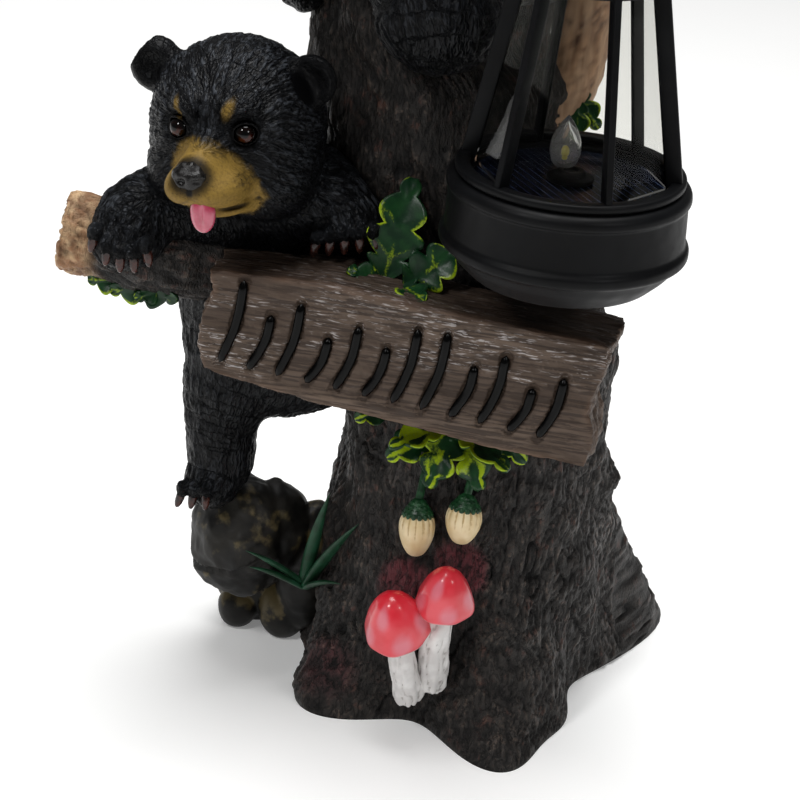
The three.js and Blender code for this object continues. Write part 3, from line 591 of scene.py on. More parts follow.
# Cubs: a head in shares of its size, and a body of rounds and limbs
headShape = {
    "middle": 0.055,
    "skull": ((0.02, 0, 0.08), (0.96, 0.94, 0.97)),
    "cheeks": [((-0.39, -0.24, -0.33), (0.5, 0.58, 0.45)), ((0.43, -0.24, -0.36), (0.52, 0.6, 0.48))],
    "bridge": [(0.055, -0.7, 0.13, 0.21), (0.055, -1.22, -0.07, 0.2)],
    "snout": ((0.055, -1.12, -0.17), (0.28, 0.34, 0.25)),
    "lips": [((-0.085, -1.03, -0.265), (0.27, 0.44, 0.215)), ((0.225, -1.0, -0.27), (0.31, 0.45, 0.225))],
    "jaw": ((0.14, -0.8, -0.5), (0.37, 0.46, 0.14)),
    "brow": ((0.25, -0.72, 0.46), (0.22, 0.2, 0.16)),
    "crease": [(0.115, -0.86, 0.54, 0.012), (0.125, -0.93, 0.36, 0.016), (0.15, -0.98, 0.17, 0.012)],
    "eye": (0.36, -0.79, 0.245),
    "eyeRadius": 0.122,
    "lid": (0.122, 0.024, 0.86),
    "ears": [((-0.92, 0.02, 0.66), (0.3, 0.22, 0.31)), ((0.86, 0.03, 0.63), (0.28, 0.16, 0.28))],
    "earHollows": [((-0.92, -0.24, 0.67), (0.15, 0.16, 0.17)), ((0.88, -0.14, 0.62), (0.21, 0.16, 0.21))],
    "nose": ((0.03, -1.4, -0.08), (0.18, 0.13, 0.155)),
    "nostril": ((0.085, -1.53, -0.11), (0.05, 0.06, 0.036)),
    "mouth": [(0.0, -1.475, -0.2, 0.014), (0.0, -1.46, -0.32, 0.018), (0.13, -1.38, -0.42, 0.018),
              (0.26, -1.2, -0.475, 0.018), (0.4, -1.0, -0.48, 0.018), (0.51, -0.81, -0.445, 0.016)],
    "tan": [(-0.11, 0.19), (0.1, 0.19), (0.2, 0.14), (0.31, 0.05), (0.45, -0.09), (0.56, -0.25), (0.63, -0.43),
            (0.52, -0.6), (0.3, -0.68), (0.14, -0.7), (0.08, -0.52), (-0.1, -0.5), (-0.3, -0.4), (-0.4, -0.2),
            (-0.37, -0.05), (-0.3, 0.07), (-0.21, 0.14)],
    "socket": (0.17, (0.19, 0.2, 0.16)), "hood": (0.025, 0.045, 0.012), "folds": ((1.45, 0.5), (1.85, 0.1)),
    "browMarks": [(-1, 0.36, 0.06, 0.15, 0.47), (1, 0.215, 0.095, 0.15, 0.5)],  # side, away, width, height, level
    "pits": [(0.262, -1.37, -0.1), (0.343, -1.33, -0.27), (0.3, -1.22, -0.36), (-0.2, -1.35, -0.2)],
    "cutMiddle": (0.02, -0.18, 0.0), "cutReach": 1.36, "cutDepth": 0.1,  # where the head parts from the body
    "tongue": ((0.14, -1.32, -0.49), (0.14, 0.09, 0.22)),
}
lowerCub = {
    "name": "lower_cub",
    "head": {"at": (-78.5, -42, 200), "turn": (-7, 0, -5), "size": 30},
    "rounds": [((-64, -22, 138), (36, 23, 44)), ((-66, -30, 178), (26, 20, 19)),
               ((-50, -22, 121.5), (18, 17, 18.5)),
               ((-105.5, -56.5, 164), (9, 9, 8.5)), ((-36.5, -37.5, 174), (8, 8.5, 8))],
    "limbs": [
        [(-80, -32, 171, 15), (-98, -42, 172.5, 13.5), (-108.5, -52, 169.5, 12), (-110.5, -58.5, 163, 10)],
        [(-54, -30, 180, 13), (-46, -35, 178, 11.5), (-42.5, -38.5, 173, 9.5)],
        [(-77.5, -23, 113, 19.5), (-81.5, -25.5, 93, 13.3), (-81.5, -25, 75, 11.3), (-83, -29, 68, 9.5)],
    ],
    "claws": [
        {"middle": (-108.5, -66, 163), "across": (1, 0.06, -0.15), "down": (0.05, -0.1, -1),
         "spread": 16.8, "count": 5},
        {"middle": (-39.4, -46, 168.5), "across": (1, 0.1, 0.25), "down": (0.05, -0.2, -1),
         "spread": 17.9, "count": 5, "arch": 0},
        {"middle": (-87.2, -36.5, 63.5), "across": (1, -0.3, 0.28), "down": (-0.1, -0.3, -0.95),
         "spread": 9, "count": 3, "arch": 0},
    ],
    "hair": (0.75, 2.6), "clawArch": 0.25,
    "claw": {"Length": 7.8 * mm, "Width": 3.6 * mm, "Depth": 3.0 * mm, "Taper": 0.12, "Bend": 0.4 * mm},
    "faceCell": 0.45, "bodyCell": 0.68, "backCell": 1.1, "split": -15,
    "strand": 1.0, "strandLength": 4.2, "depth": 0.5,
    "seed": 11,
}
upperCub = {
    "name": "upper_cub",
    "head": {"at": (-22, -44, 320), "turn": (16, 8, 4), "size": 25},
    "rounds": [((-16, -41, 249), (21, 18, 21)), ((-22, -37, 279), (20, 17, 30)),
               ((-22, -38, 300), (15, 14, 15))],
    "limbs": [
        [(-30, -38, 258, 12), (-50, -33, 265, 10.5), (-65, -18, 251, 9), (-66.5, -12, 241.5, 8)],
        [(-10, -34, 254, 12), (3, -22, 258, 10), (9, -10, 254, 8.5)],
        [(-38, -32, 298, 10.5), (-58, -22, 293, 9.5), (-63, -4, 292, 8)],
        [(-8, -32, 299, 10.5), (10, -22, 301, 9), (28, -14, 300, 8.5)],
    ],
    "claws": [
        {"middle": (-68, -19, 248), "across": (1, -0.6, 0), "down": (-0.4, -0.8, -0.1),
         "spread": 11, "count": 4},
        {"middle": (14, -15, 255), "across": (0.5, 0.3, 0.8), "down": (0.7, -0.5, -0.1),
         "spread": 10, "count": 4},
    ],
    "hair": (0.85, 3.0), "clawArch": 0.2,
    "claw": {"Length": 6 * mm, "Width": 2.6 * mm, "Depth": 2.5 * mm, "Taper": 0.35, "Bend": 0.4 * mm},
    "faceCell": 0.95, "bodyCell": 0.85, "backCell": 1.2, "split": -30,
    "strand": 1.3, "strandLength": 5.0, "depth": 0.6,
    "seed": 31,
}
clawSet = {"back": 4.2, "lift": 1.4, "splay": 0.4, "curl": 0.12, "toe": (2.5, 2.9, 3.0), "toeBlend": 1.4}
overlap, neckOverlap = 1.2, 3  # how far the pieces of a cub run into each other


def headTurn(head):
    yaw, pitch, roll = [math.radians(a) for a in head["turn"]]
    turn = Matrix.Rotation(yaw, 3, "Z") @ Matrix.Rotation(pitch, 3, "X") @ Matrix.Rotation(roll, 3, "Y")
    return np.array(turn, np.float32), np.array(head["at"], np.float32)


def toHead(head, p):
    turn, at = headTurn(head)
    return (p - at) @ turn / head["size"]


def fromHead(head, q):
    turn, at = headTurn(head)
    return np.asarray(q, np.float32) * head["size"] @ turn.T + at


def mirrored(spot, side):  # paired features stand either side of the face's middle line
    return (headShape["middle"] + side * spot[0], *spot[1:])


def muzzleField(q):
    d = limb(q, np.array(headShape["bridge"], np.float32))
    d = smoothMin(d, ball(q, *headShape["snout"]), 0.1)
    for at, radii in headShape["lips"]:
        d = smoothMin(d, ball(q, at, radii), 0.1)
    return d


def skullField(q):
    d = ball(q, *headShape["skull"])
    for at, radii in headShape["cheeks"]:
        d = smoothMin(d, ball(q, at, radii), 0.12)
    return d


def headField(q):
    d = smoothMin(skullField(q), smoothMin(muzzleField(q), ball(q, *headShape["jaw"]), 0.02), 0.1)
    for side in (-1, 1):
        at, radii = headShape["brow"]
        d = smoothMin(d, ball(q, mirrored(at, side), radii), 0.14)
        eye = np.array(mirrored(headShape["eye"], side), np.float32)
        out = unit(eye * (1, 1, 0.6))
        ahead, radii = headShape["socket"]
        d = smoothMax(d, -ball(q, eye + out * ahead, radii), 0.1)
        high = (q - eye) @ out
        flat = q - eye - high[:, None] * out
        ring, thick, squash = headShape["lid"]
        rise = flat @ unit(np.array([0, 0, 1]) - out * out[2])
        wide = np.sqrt(np.maximum((flat ** 2).sum(1) - rise ** 2, 0) + (rise / squash) ** 2)
        level = np.clip(rise / squash / ring, -1, 1)
        lift, arch, lean = headShape["hood"]
        hood = lift + arch * level ** 2 + lean * level
        d = smoothMin(d, np.hypot(wide - ring, high - hood) - thick, 0.03)
        for fold, sink in headShape["folds"]:
            d = smoothMin(d, np.hypot(wide - ring * fold, high - hood * sink) - thick * 0.55, 0.015)
        d = np.maximum(d, 0.008 - ball(q, eye, [headShape["eyeRadius"]] * 3))
        for key in ("mouth", "crease"):
            line = [(headShape["middle"] + side * x, y, z, r) for x, y, z, r in headShape[key]]
            d = smoothMax(d, -limb(q, spline(line, 4)), 0.03)
    for ear, hollow in zip(headShape["ears"], headShape["earHollows"]):
        d = smoothMin(d, smoothMax(ball(q, *ear), -ball(q, *hollow), 0.12), 0.11)
    return d


def outlineField(outline, x, z):  # distance to a flat outline, below zero inside
    best = np.full(len(x), 1e9, np.float32)
    inside = np.zeros(len(x), bool)
    for (ax, az), (bx, bz) in zip(outline, np.roll(outline, -1, 0)):
        t = np.clip(((x - ax) * (bx - ax) + (z - az) * (bz - az)) / ((bx - ax) ** 2 + (bz - az) ** 2), 0, 1)
        best = np.minimum(best, np.hypot(x - ax - t * (bx - ax), z - az - t * (bz - az)))
        if az != bz:
            inside ^= ((az > z) != (bz > z)) & (x < (bx - ax) * (z - az) / (bz - az) + ax)
    return np.where(inside, -best, best)


def clawRows(cub):
    spots, aims, faces = [], [], []
    for row in cub["claws"]:
        across, down = unit(np.array(row["across"], float)), unit(np.array(row["down"], float))
        for i in range(row["count"]):
            share = i / (row["count"] - 1) - 0.5
            drop = row["spread"] * row.get("arch", cub["clawArch"]) * (1 - 4 * share * share)
            under = np.cross(across, down)
            spot = np.array(row["middle"]) + across * share * row["spread"]
            spots.append(spot + down * (drop - clawSet["back"]) - under * clawSet["lift"])
            aims.append(unit(down + across * share * clawSet["splay"] + under * clawSet["curl"]))
            faces.append(under)
    return np.array(spots), np.array(aims), np.array(faces)


def cubField(cub):
    limbs = [spline(rows, 3) for rows in cub["limbs"]]
    toes, aims, _ = clawRows(cub)
    size = cub["head"]["size"]

    def field(p):
        p = np.asarray(p, np.float32)
        d = ball(p, *cub["rounds"][0])
        for at, radii in cub["rounds"][1:]:
            d = smoothMin(d, ball(p, at, radii), 6)
        for rows in limbs:
            d = smoothMin(d, limb(p, rows), 4)
        for toe, aim in zip(toes, aims):
            d = smoothMin(d, ball(p, toe + aim * 0.5, clawSet["toe"]), clawSet["toeBlend"])
        return smoothMin(d, headField(toHead(cub["head"], p)) * size, 3.5)
    return field


def furFlow(cub, p, n):  # the way the hair lies
    flow = np.tile(np.array([0, 0.12, -0.5], np.float32), (len(p), 1))
    q = toHead(cub["head"], p)
    away = unit(p - fromHead(cub["head"], [[headShape["middle"], -1.15, 0.05]]))
    onHead = smooth(1.75, 1.05, np.linalg.norm(q, axis=1))[:, None]
    flow = flow * (1 - onHead) + onHead * (away + np.array([0, 0.35, -0.3], np.float32)) * 2
    for rows in cub["limbs"]:
        path = spline(rows, 3)
        best = np.full(len(p), 1e9, np.float32)
        lead = np.zeros_like(p)
        for a, b in zip(path, path[1:]):
            d = limb(p, np.array([a, b]))
            closer = d < best
            best = np.where(closer, d, best)
            lead[closer] = unit(b[:3] - a[:3])
        flow += lead * (2.5 * np.exp(-(np.maximum(best, 0) / 4) ** 2) * (1 - onHead[:, 0]))[:, None]
    flow += 0.45 * drift(p, 13, cub["seed"])
    return unit(flow - n * np.sum(flow * n, 1, keepdims=True))


def carveFur(cub, shape):  # strands cut along the hair, and the face's paint masks, with painted top light on the strands and painted shade in the mouth groove
    p, faces = shape
    n = normalsOf(p, faces)
    q = toHead(cub["head"], p)
    inTan = outlineField(np.array(headShape["tan"]), q[:, 0], q[:, 2]) + 0.02 * noise(q, 0.05, 5)
    tan = smooth(0.08, -0.08, inTan) * (q[:, 1] < -0.5)
    bare = smooth(0.02, -0.06, inTan) * (q[:, 1] < -0.6)
    for side, away, wide, high, level in headShape["browMarks"]:
        slant = q[:, 0] - headShape["middle"] - side * (away + 0.25 * (q[:, 2] - level))
        mark = np.hypot(slant / wide, (q[:, 2] - level) / high)
        tan = np.maximum(tan, 0.75 * smooth(1.3, 0.1, mark) * (q[:, 1] < -0.45))
    at, radii = headShape["nose"]
    near = np.linalg.norm((q - at) / (np.array(radii) * 1.5), axis=1)
    sootAndShade = 0.9 * smooth(1.2, 0.72, near)
    for side in (-1, 1):
        line = [(headShape["middle"] + side * x, y, z, 0.0) for x, y, z, r in headShape["mouth"]]
        # painted shade along the carved mouth groove
        sootAndShade = sootAndShade + 0.95 * smooth(0.034, 0.012, limb(q, spline(line, 3)))
        eye = np.linalg.norm(q - mirrored(headShape["eye"], side), axis=1)
        bare = np.maximum(bare, smooth(0.175, 0.14, eye))
    for x, y, z in headShape["pits"]:
        sootAndShade = sootAndShade + smooth(0.035, 0.012, np.linalg.norm(q - (headShape["middle"] + x, y, z), axis=1))
    for ear, hollow in zip(headShape["ears"], headShape["earHollows"]):
        bare = np.maximum(bare, smooth(1.25, 0.9, np.linalg.norm((q - hollow[0]) / hollow[1], axis=1)))
        bare = np.maximum(bare, 0.7 * smooth(0.08, 0.0, ball(q, *ear)))
    flow = furFlow(cub, p, n)
    onLimb = smooth(1.2, 1.6, np.linalg.norm(q, axis=1))
    fine = streaks(p, flow, cub["strand"], cub["strandLength"], cub["seed"])
    long = streaks(p, flow, cub["strand"] * 1.5, cub["strandLength"] * 2, cub["seed"] + 7)
    strand = smooth(-1.1, 1.5, fine * (1 - 0.4 * onLimb) + long * 0.5 * onLimb)
    depth = cub["depth"] * (1 + 0.5 * onLimb) * (1 - bare)
    p = p + n * (depth * (strand - 0.5))[:, None]
    wide, long = cub["hair"]
    lead = unit(np.round(flow * 3))
    lie = p / wide - lead * (np.sum(p * lead, 1, keepdims=True) * (1 / wide - 1 / long))
    # painted top light: strands lighter on faces turned up, darker on faces turned down
    paintedTopLight = 0.35 + 0.95 * np.clip(n[:, 2], -0.3, 0.75)
    masks = {"strand": strand * paintedTopLight * (1 - bare * 0.8), "bald": bare, "tan": tan, "sootAndShade": np.clip(sootAndShade, 0, 1)}
    return (p, faces), masks | dict(zip(furAxes, lie.T))


def makeCub(cub):
    field = cubField(cub)
    head = cub["head"]
    centre = fromHead(head, [headShape["cutMiddle"]])[0]
    reach = head["size"] * headShape["cutReach"]

    def onHead(p):
        return np.linalg.norm(p - centre, axis=1) - reach

    def cut(part, within, low, high, cell):
        carved, masks = carveFur(cub, skin(within, low, high, cell))
        build(cub["name"] + "_" + part, carved, furBlack, masks)
    for part, cell, sign in (("face", cub["faceCell"], 1), ("nape", cub["backCell"], -1)):
        def headHalf(p):
            side = sign * (toHead(head, p)[:, 1] - headShape["cutDepth"]) * head["size"] - overlap
            return np.maximum(np.maximum(field(p), onHead(p)), side)
        cut(part, headHalf, centre - reach - 2, centre + reach + 2, cell)
    rows = np.vstack(cub["limbs"] + [[(*at, max(radii))] for at, radii in cub["rounds"]])
    low, high = (rows[:, :3] - rows[:, 3:]).min(0) - 6, (rows[:, :3] + rows[:, 3:]).max(0) + 6
    for part, cell, sign in (("front", cub["bodyCell"], 1), ("back", cub["backCell"], -1)):
        def bodyHalf(p):
            side = sign * (p[:, 1] - cub["split"]) - overlap
            return np.maximum(np.maximum(field(p), -neckOverlap - onHead(p)), side)
        cut(part, bodyHalf, low, high, cell)
    eyes, iris = [], []
    for side in (-1, 1):
        eye = np.array(mirrored(headShape["eye"], side))
        turn = np.linspace(0, math.pi, 14)
        p, f = lathe(np.stack([np.sin(turn), -np.cos(turn)], 1), 24)
        look = unit(eye * (0.8, 1, 0.5))
        p = aimed(p, (0, 0, 0), look)
        around = np.linalg.norm(p - look, axis=1)
        # iris brown only low down; the upper iris is black as painted shade under the lid
        low = smooth(-0.05, -0.4, p[:, 2] - look[2] - 0.3 * (p[:, 0] - look[0]))
        iris.append(smooth(0.34, 0.44, around) * smooth(0.74, 0.64, around) * (0.06 + 0.94 * low))
        eyes.append((fromHead(head, p * headShape["eyeRadius"] + eye), f))
    build(cub["name"] + "_eyes", joined(*eyes), eyeDark, {"iris": np.concatenate(iris)})
    at, radii = headShape["nose"]

    def nose(p):
        q = toHead(head, p)
        d = ball(q, at, radii)
        for side in (-1, 1):
            spot, hole = headShape["nostril"]
            d = smoothMax(d, -ball(q, mirrored(spot, side), hole), 0.03)
        return d * head["size"] + 0.5 * noise(p, 1.7, 3) * smooth(-0.4, 0.1, ball(q, at, radii))
    middle = fromHead(head, [at])[0]
    build(cub["name"] + "_nose", skin(nose, middle - 8, middle + 8, 0.32), noseBlack)
    studded(cub["name"] + "_claws", *clawRows(cub), cub["claw"], clawBrown)


makeCub(lowerCub)
makeCub(upperCub)


def tongue():
    head = lowerCub["head"]
    at, radii = headShape["tongue"]

    def field(p):
        q = toHead(head, p)
        d = ball(q, at, radii)
        groove = np.hypot(q[:, 0] - at[0], (q[:, 1] - at[1] + radii[1]) * 0.7) - 0.02
        return smoothMax(d, -groove, 0.05) * head["size"]
    middle = fromHead(head, [at])[0]
    build("lower_cub_tongue", skin(field, middle - 10, middle + 10, 0.35), tonguePink)


tongue()

# Stump, roots and limbs
stump = {
    "rows": [  # height, axis x, axis y, half width, half depth
        (0, 0, 2, 48, 46), (50, 1.5, 2, 48, 46), (85, 2.5, 2, 45.5, 45), (115, 1, 2, 46, 43),
        (150, -8, 3, 46, 38), (185, -18, 4, 45, 34), (212, -24, 4, 42, 32), (235, -34, 4, 33, 29),
        (270, -37, 5, 28, 26), (320, -36, 6, 25, 24), (346, -35, 6, 20, 19)],
    "roots": [  # direction, reach, half spread, height of the flare
        (-67, 33, 10.5, 30), (-45, 13, 12, 30), (-123, 21, 18, 30), (45, 46, 17.5, 44),
        (98, 24, 17, 30), (150, 18, 20, 26)],
    "rootFall": 1.2, "ridges": 8, "ridgeDepth": 1.5, "twist": 0.012, "break": 7, "sunkenTop": 9, "seed": 51,
    "knots": [(8, 76, 6, 3.5), (4, 69, 4, -2.0), (5, 96, 10, -3.5), (-30, 62, 6, -2.5), (-95, 96, 7, 2.0),
              (180, 106, 11, 4.0), (0, 232, 15, 11), (0, 252, 14, 17)],
    "seam": 170, "frontColumns": 285, "backColumns": 45, "footRows": 214, "topRows": 95,
}
mushrooms = [
    {"foot": (-3, -57, 15.5), "top": (-10, -72, 59), "capRadius": 11.3, "capHeight": 19, "stemRadius": 4.5},
    {"foot": (3.5, -54.5, 20), "top": (8, -67, 69), "capRadius": 10, "capHeight": 17, "stemRadius": 4.7},
]


def readRows(rows, z):
    rows = np.array(rows, float)
    i = np.clip(np.searchsorted(rows[:, 0], z, side="left") - 1, 0, len(rows) - 2)
    share = smooth(rows[i, 0], rows[i + 1, 0], z)[:, None]
    return rows[i, 1:] * (1 - share) + rows[i + 1, 1:] * share


def stumpPoint(angle, z):
    x, y, wide, deep = readRows(stump["rows"], z).T
    out = stump["ridgeDepth"] * np.sin(stump["ridges"] * angle + stump["twist"] * z * stump["ridges"])
    for direction, reach, spread, flare in stump["roots"]:
        away = angle - math.radians(direction)
        swing = np.arctan2(np.sin(away), np.cos(away)) / math.radians(spread)
        out = out + reach * np.exp(-0.5 * swing ** 2) * np.exp(-(z / flare) ** stump["rootFall"])
    for direction, height, size, bulge in stump["knots"]:
        away = angle - math.radians(direction)
        swing = np.arctan2(np.sin(away), np.cos(away)) * 48
        out = out + bulge * np.exp(-(swing ** 2 + (z - height) ** 2) / size ** 2)
    return np.stack([x + (wide + out) * np.cos(angle), y + (deep + out) * np.sin(angle), z], 1)


bark = {"wander": 0.55, "chip": 1.35, "chipLength": 5.0, "chipDepth": 0.95, "pit": 5, "pitDepth": 0.55,
        "lump": 21, "lumpDepth": 1.2, "crack": 7, "crackLength": 34, "crackDepth": 1.7}
overspray = {"behind": (0, -50, -10), "fade": (14.5, 6), "root": (-33, -45, 12), "rootShare": 0.55}


def carveBark(p, n, along, seed, scale=1.0):  # chips, cracks and lumps; also how high each point stands
    flow = along + bark["wander"] * drift(p, 16, seed)
    flow = unit(flow - n * np.sum(flow * n, 1, keepdims=True))
    chips = np.abs(streaks(p, flow, bark["chip"] * scale, bark["chipLength"], seed))
    chips = np.clip(chips * 0.9, 0, 1) ** 0.8
    pits = np.clip(rugged(p, bark["pit"] * scale, 3, seed + 5), -1, 1)
    lumps = rugged(p, bark["lump"], 2, seed + 9)
    crack = smooth(0.17, 0.0, np.abs(streaks(p, flow, bark["crack"], bark["crackLength"], seed + 13, 13)))
    crack = crack * smooth(0.0, 0.4, noise(p, 30, seed + 2))
    height = bark["chipDepth"] * scale * (chips - 0.5) + bark["pitDepth"] * scale * pits
    height = height + bark["lumpDepth"] * lumps - bark["crackDepth"] * crack
    ridge = np.clip(0.18 + 0.62 * chips + 0.3 * pits - 0.8 * crack, 0, 1)
    return p + n * height[:, None], ridge


def roseMask(p):  # red overspray round the mushroom caps and on one root
    rose = np.zeros(len(p))
    for m in mushrooms:
        spot = np.array(m["top"]) * (1, 0, 1) + overspray["behind"]
        away = np.linalg.norm((p - spot) * (1, 0.6, 1), axis=1)
        rose = np.maximum(rose, smooth(*overspray["fade"], away))
    patch = np.linalg.norm((p - overspray["root"]) * (1, 1, 0.9), axis=1)
    return np.maximum(rose, overspray["rootShare"] * smooth(20, 4, patch))


def trunk():
    front = np.linspace(-math.pi - 0.25, 0.35, stump["frontColumns"], endpoint=False)
    back = np.linspace(0.35, math.pi - 0.25, stump["backColumns"], endpoint=False)
    angles = np.concatenate([front, back])
    top = stump["rows"][-1][0]
    parts = (("stump_foot", np.linspace(0, stump["seam"], stump["footRows"])),
             ("stump_top", np.linspace(stump["seam"] - 0.6, top, stump["topRows"])))
    for name, levels in parts:
        a, z = [g.ravel() for g in np.meshgrid(angles, levels)]
        p = stumpPoint(a, z).astype(np.float32)
        rings = p.reshape(len(levels), len(angles), 3)
        points, faces = wrap(rings)
        n = normalsOf(points, faces)[:-2].reshape(rings.shape)
        n[0], n[-1] = n[1], n[-2]  # the caps' fans would tilt the end rows
        carved, ridge = carveBark(p, n.reshape(-1, 3), np.array([0, 0, -1.0]), stump["seed"])
        keep = smooth(0, 2.5, z)[:, None]
        carved = p * (1 - keep) + carved * keep
        carved[:, 2] = np.maximum(carved[:, 2], 0)
        rim = smooth(top - 14, top, z)
        carved[:, 2] += rim * (stump["break"] * np.sin(3 * a + 1) * 0.8 + 3 * noise(p * (1, 1, 0), 7, 4))
        low, high = carved[:len(angles)].mean(0), carved[-len(angles):].mean(0) - (0, 0, stump["sunkenTop"])
        points = np.vstack([carved, [low], [high]])
        if name == "stump_foot":
            points[-2:, 2] = 0, stump["seam"]
        pad = np.zeros(2)
        masks = {"ridge": np.append(ridge, pad), "rose": np.append(roseMask(carved), pad),
                 "bare": np.append(rim ** 2, pad + 1)}
        build(name, (points, faces), barkBlack, masks)


trunk()
branch = {"rows": [(-34, -8, 146, 15), (-70, -22, 150, 15), (-104, -42, 154.5, 13.6),
                   (-122, -45.5, 157.5, 12.2), (-132.5, -46.5, 158.5, 11.4)],
          "sides": 84, "steps": 26, "seed": 71, "lip": 1.0, "hollow": 3.5, "bareFrom": 16, "bark": 1.0}
rightLimb = {"rows": [(-4, 8, 186, 18), (17, 12, 212, 12), (24, 11, 242, 9), (29, 4, 276, 8),
                      (32, -22, 299, 6.8), (32.6, -48, 303, 5.6), (32.6, -66, 303, 5.2), (33, -82, 309, 4.6)],
             "sides": 48, "steps": 16, "seed": 81, "lip": 0.0, "hollow": 0.0, "bareFrom": 0.0, "bark": 0.5}


def limbPiece(name, wood, material):
    rings, ahead = tube(wood["rows"], wood["sides"], wood["steps"])
    ends = np.array(wood["rows"], float)
    seed, hollow, bareFrom = wood["seed"], wood["hollow"], wood["bareFrom"]
    centres = rings.mean(1, keepdims=True)
    gone = np.linalg.norm(centres - ends[-1, :3], axis=2)
    swell = 1 + wood["lip"] / ends[-1, 3] * smooth(14, 2, gone)
    rings = centres + (rings - centres) * swell[..., None]
    inner = [(rings[-1] - centres[-1]) * s + centres[-1] - ahead[-1] * d
             for s, d in ((0.86, -0.8), (0.72, 0.2), (0.55, hollow * 0.7), (0.3, hollow))]
    rings = np.concatenate([rings, inner])
    points, faces = wrap(rings)
    n = normalsOf(points, faces)
    along = np.repeat(np.concatenate([ahead, np.repeat(ahead[-1:], 4, 0)]), wood["sides"], 0)
    along = np.vstack([along, ahead[:1], ahead[-1:]])
    carved, ridge = carveBark(points, n, along, seed, wood["bark"])
    short = (ends[-1, :3] - points) @ ahead[-1] + 3 * noise(points, 9, seed)
    bare = smooth(bareFrom, bareFrom * 0.4, short) if bareFrom else 0 * ridge
    build(name, (carved, faces), material, {"ridge": ridge, "rose": 0 * ridge, "bare": bare})


limbPiece("left_branch", branch, barkBlack)
limbPiece("right_limb", rightLimb, limbBrown)

# Rocks at the foot
rocks = [((-75, -14, 42), (18, 18, 22)), ((-66, -9, 43), (14, 15, 18)), ((-72, 7, 21), (16, 15, 24)),
         ((-52, -1, 27), (13, 15, 25)), ((-77, -4, 7.8), (7.3, 7.3, 8.3)), ((-60, -5, 10), (9, 8.5, 11.2)),
         ((-60, 20, 15), (26, 25, 20))]
rockCut = {"rough": 0.085, "pebble": 10, "pebbleRough": 0.03, "blend": 0.4, "relief": 0.65,
           "ledge": 36, "ledgeDepth": 1.5, "box": ((-98, -36, -3), (-30, 52, 68)), "cell": 1.0}


def makeRocks():
    def field(p):
        d = None
        for i, (at, radii) in enumerate(rocks):
            rough = rockCut["rough"] if radii[0] > rockCut["pebble"] else rockCut["pebbleRough"]
            e = ball(p, at, radii) + rough * min(radii) * rugged(p, 11, 3, 90 + i)
            d = e if d is None else smoothMin(d, e, rockCut["blend"])
        return np.maximum(d, -p[:, 2])
    points, faces = skin(field, *rockCut["box"], rockCut["cell"])
    n = normalsOf(points, faces)
    relief = rugged(points, 6, 3, 95)
    keep = smooth(0.2, 2, points[:, 2])
    pebbles = [ball(points, at, radii) for at, radii in rocks if radii[0] < rockCut["pebble"]]
    pebble = smooth(1.5, 0.3, np.minimum.reduce(pebbles))
    ledge = smooth(1.5, 0.2, np.abs(points[:, 2] - rockCut["ledge"] + 6 * noise(points, 15, 98))) * (1 - pebble)
    height = rockCut["relief"] * relief * (1 - 0.8 * pebble) - rockCut["ledgeDepth"] * ledge
    points = points + n * (height * keep)[:, None]
    # ochre dry-brush on raised rock, laid heavier on faces turned up as painted top light, most on the pebbles
    ridge = 0.55 * relief + 0.3 * noise(points, 16, 97) + 0.2 * n[:, 2] - 0.5 * ledge
    ridge = ridge + pebble * (0.25 + 0.5 * n[:, 2])
    build("foot_rocks", (points, faces), rockGrey, {"ridge": np.clip(ridge, 0, 1)})


makeRocks()

# Plank sign
sign = {
    "front": -64, "thickness": 26, "edge": 0.9, "cell": 0.78, "box": ((-87, -67, 107), (58, -35, 166)),
    "outline": [(-80, 124), (-58, 121.5), (-20, 117), (14, 113.5), (47.5, 111.5), (50, 118), (49.5, 124),
                (47, 129.5), (50.5, 145), (53, 155), (6, 157.5), (-40, 161), (-80.5, 160), (-77.5, 153),
                (-82.5, 144), (-82, 134)],
    "strokes": {"count": 12, "fromX": -71, "toX": 35, "top": (158, 147), "bottom": (128, 119.5),
                "lean": 3.4, "bow": 1.6, "radius": 1.5, "depth": 0.9, "groove": 2.0, "bead": 1.55, "sink": 0.8,
                "shorten": (0, 0.32, 0.1, 0.42, 0.2, 0.36, 0.05)},
}


def strokePaths():
    s = sign["strokes"]
    y = sign["front"] - s["radius"] + s["depth"]
    paths = []
    for i in range(s["count"]):
        share = i / (s["count"] - 1)
        x = s["fromX"] + (s["toX"] - s["fromX"]) * share
        bottom = s["bottom"][0] + (s["bottom"][1] - s["bottom"][0]) * share
        top = s["top"][0] + (s["top"][1] - s["top"][0]) * share
        top += (bottom - top) * s["shorten"][i % len(s["shorten"])]
        paths.append(spline([(x - s["lean"], y, bottom, 1), (x + s["bow"], y, (bottom + top) / 2, 1),
                             (x + s["lean"], y, top, 1)], 9))
    return paths


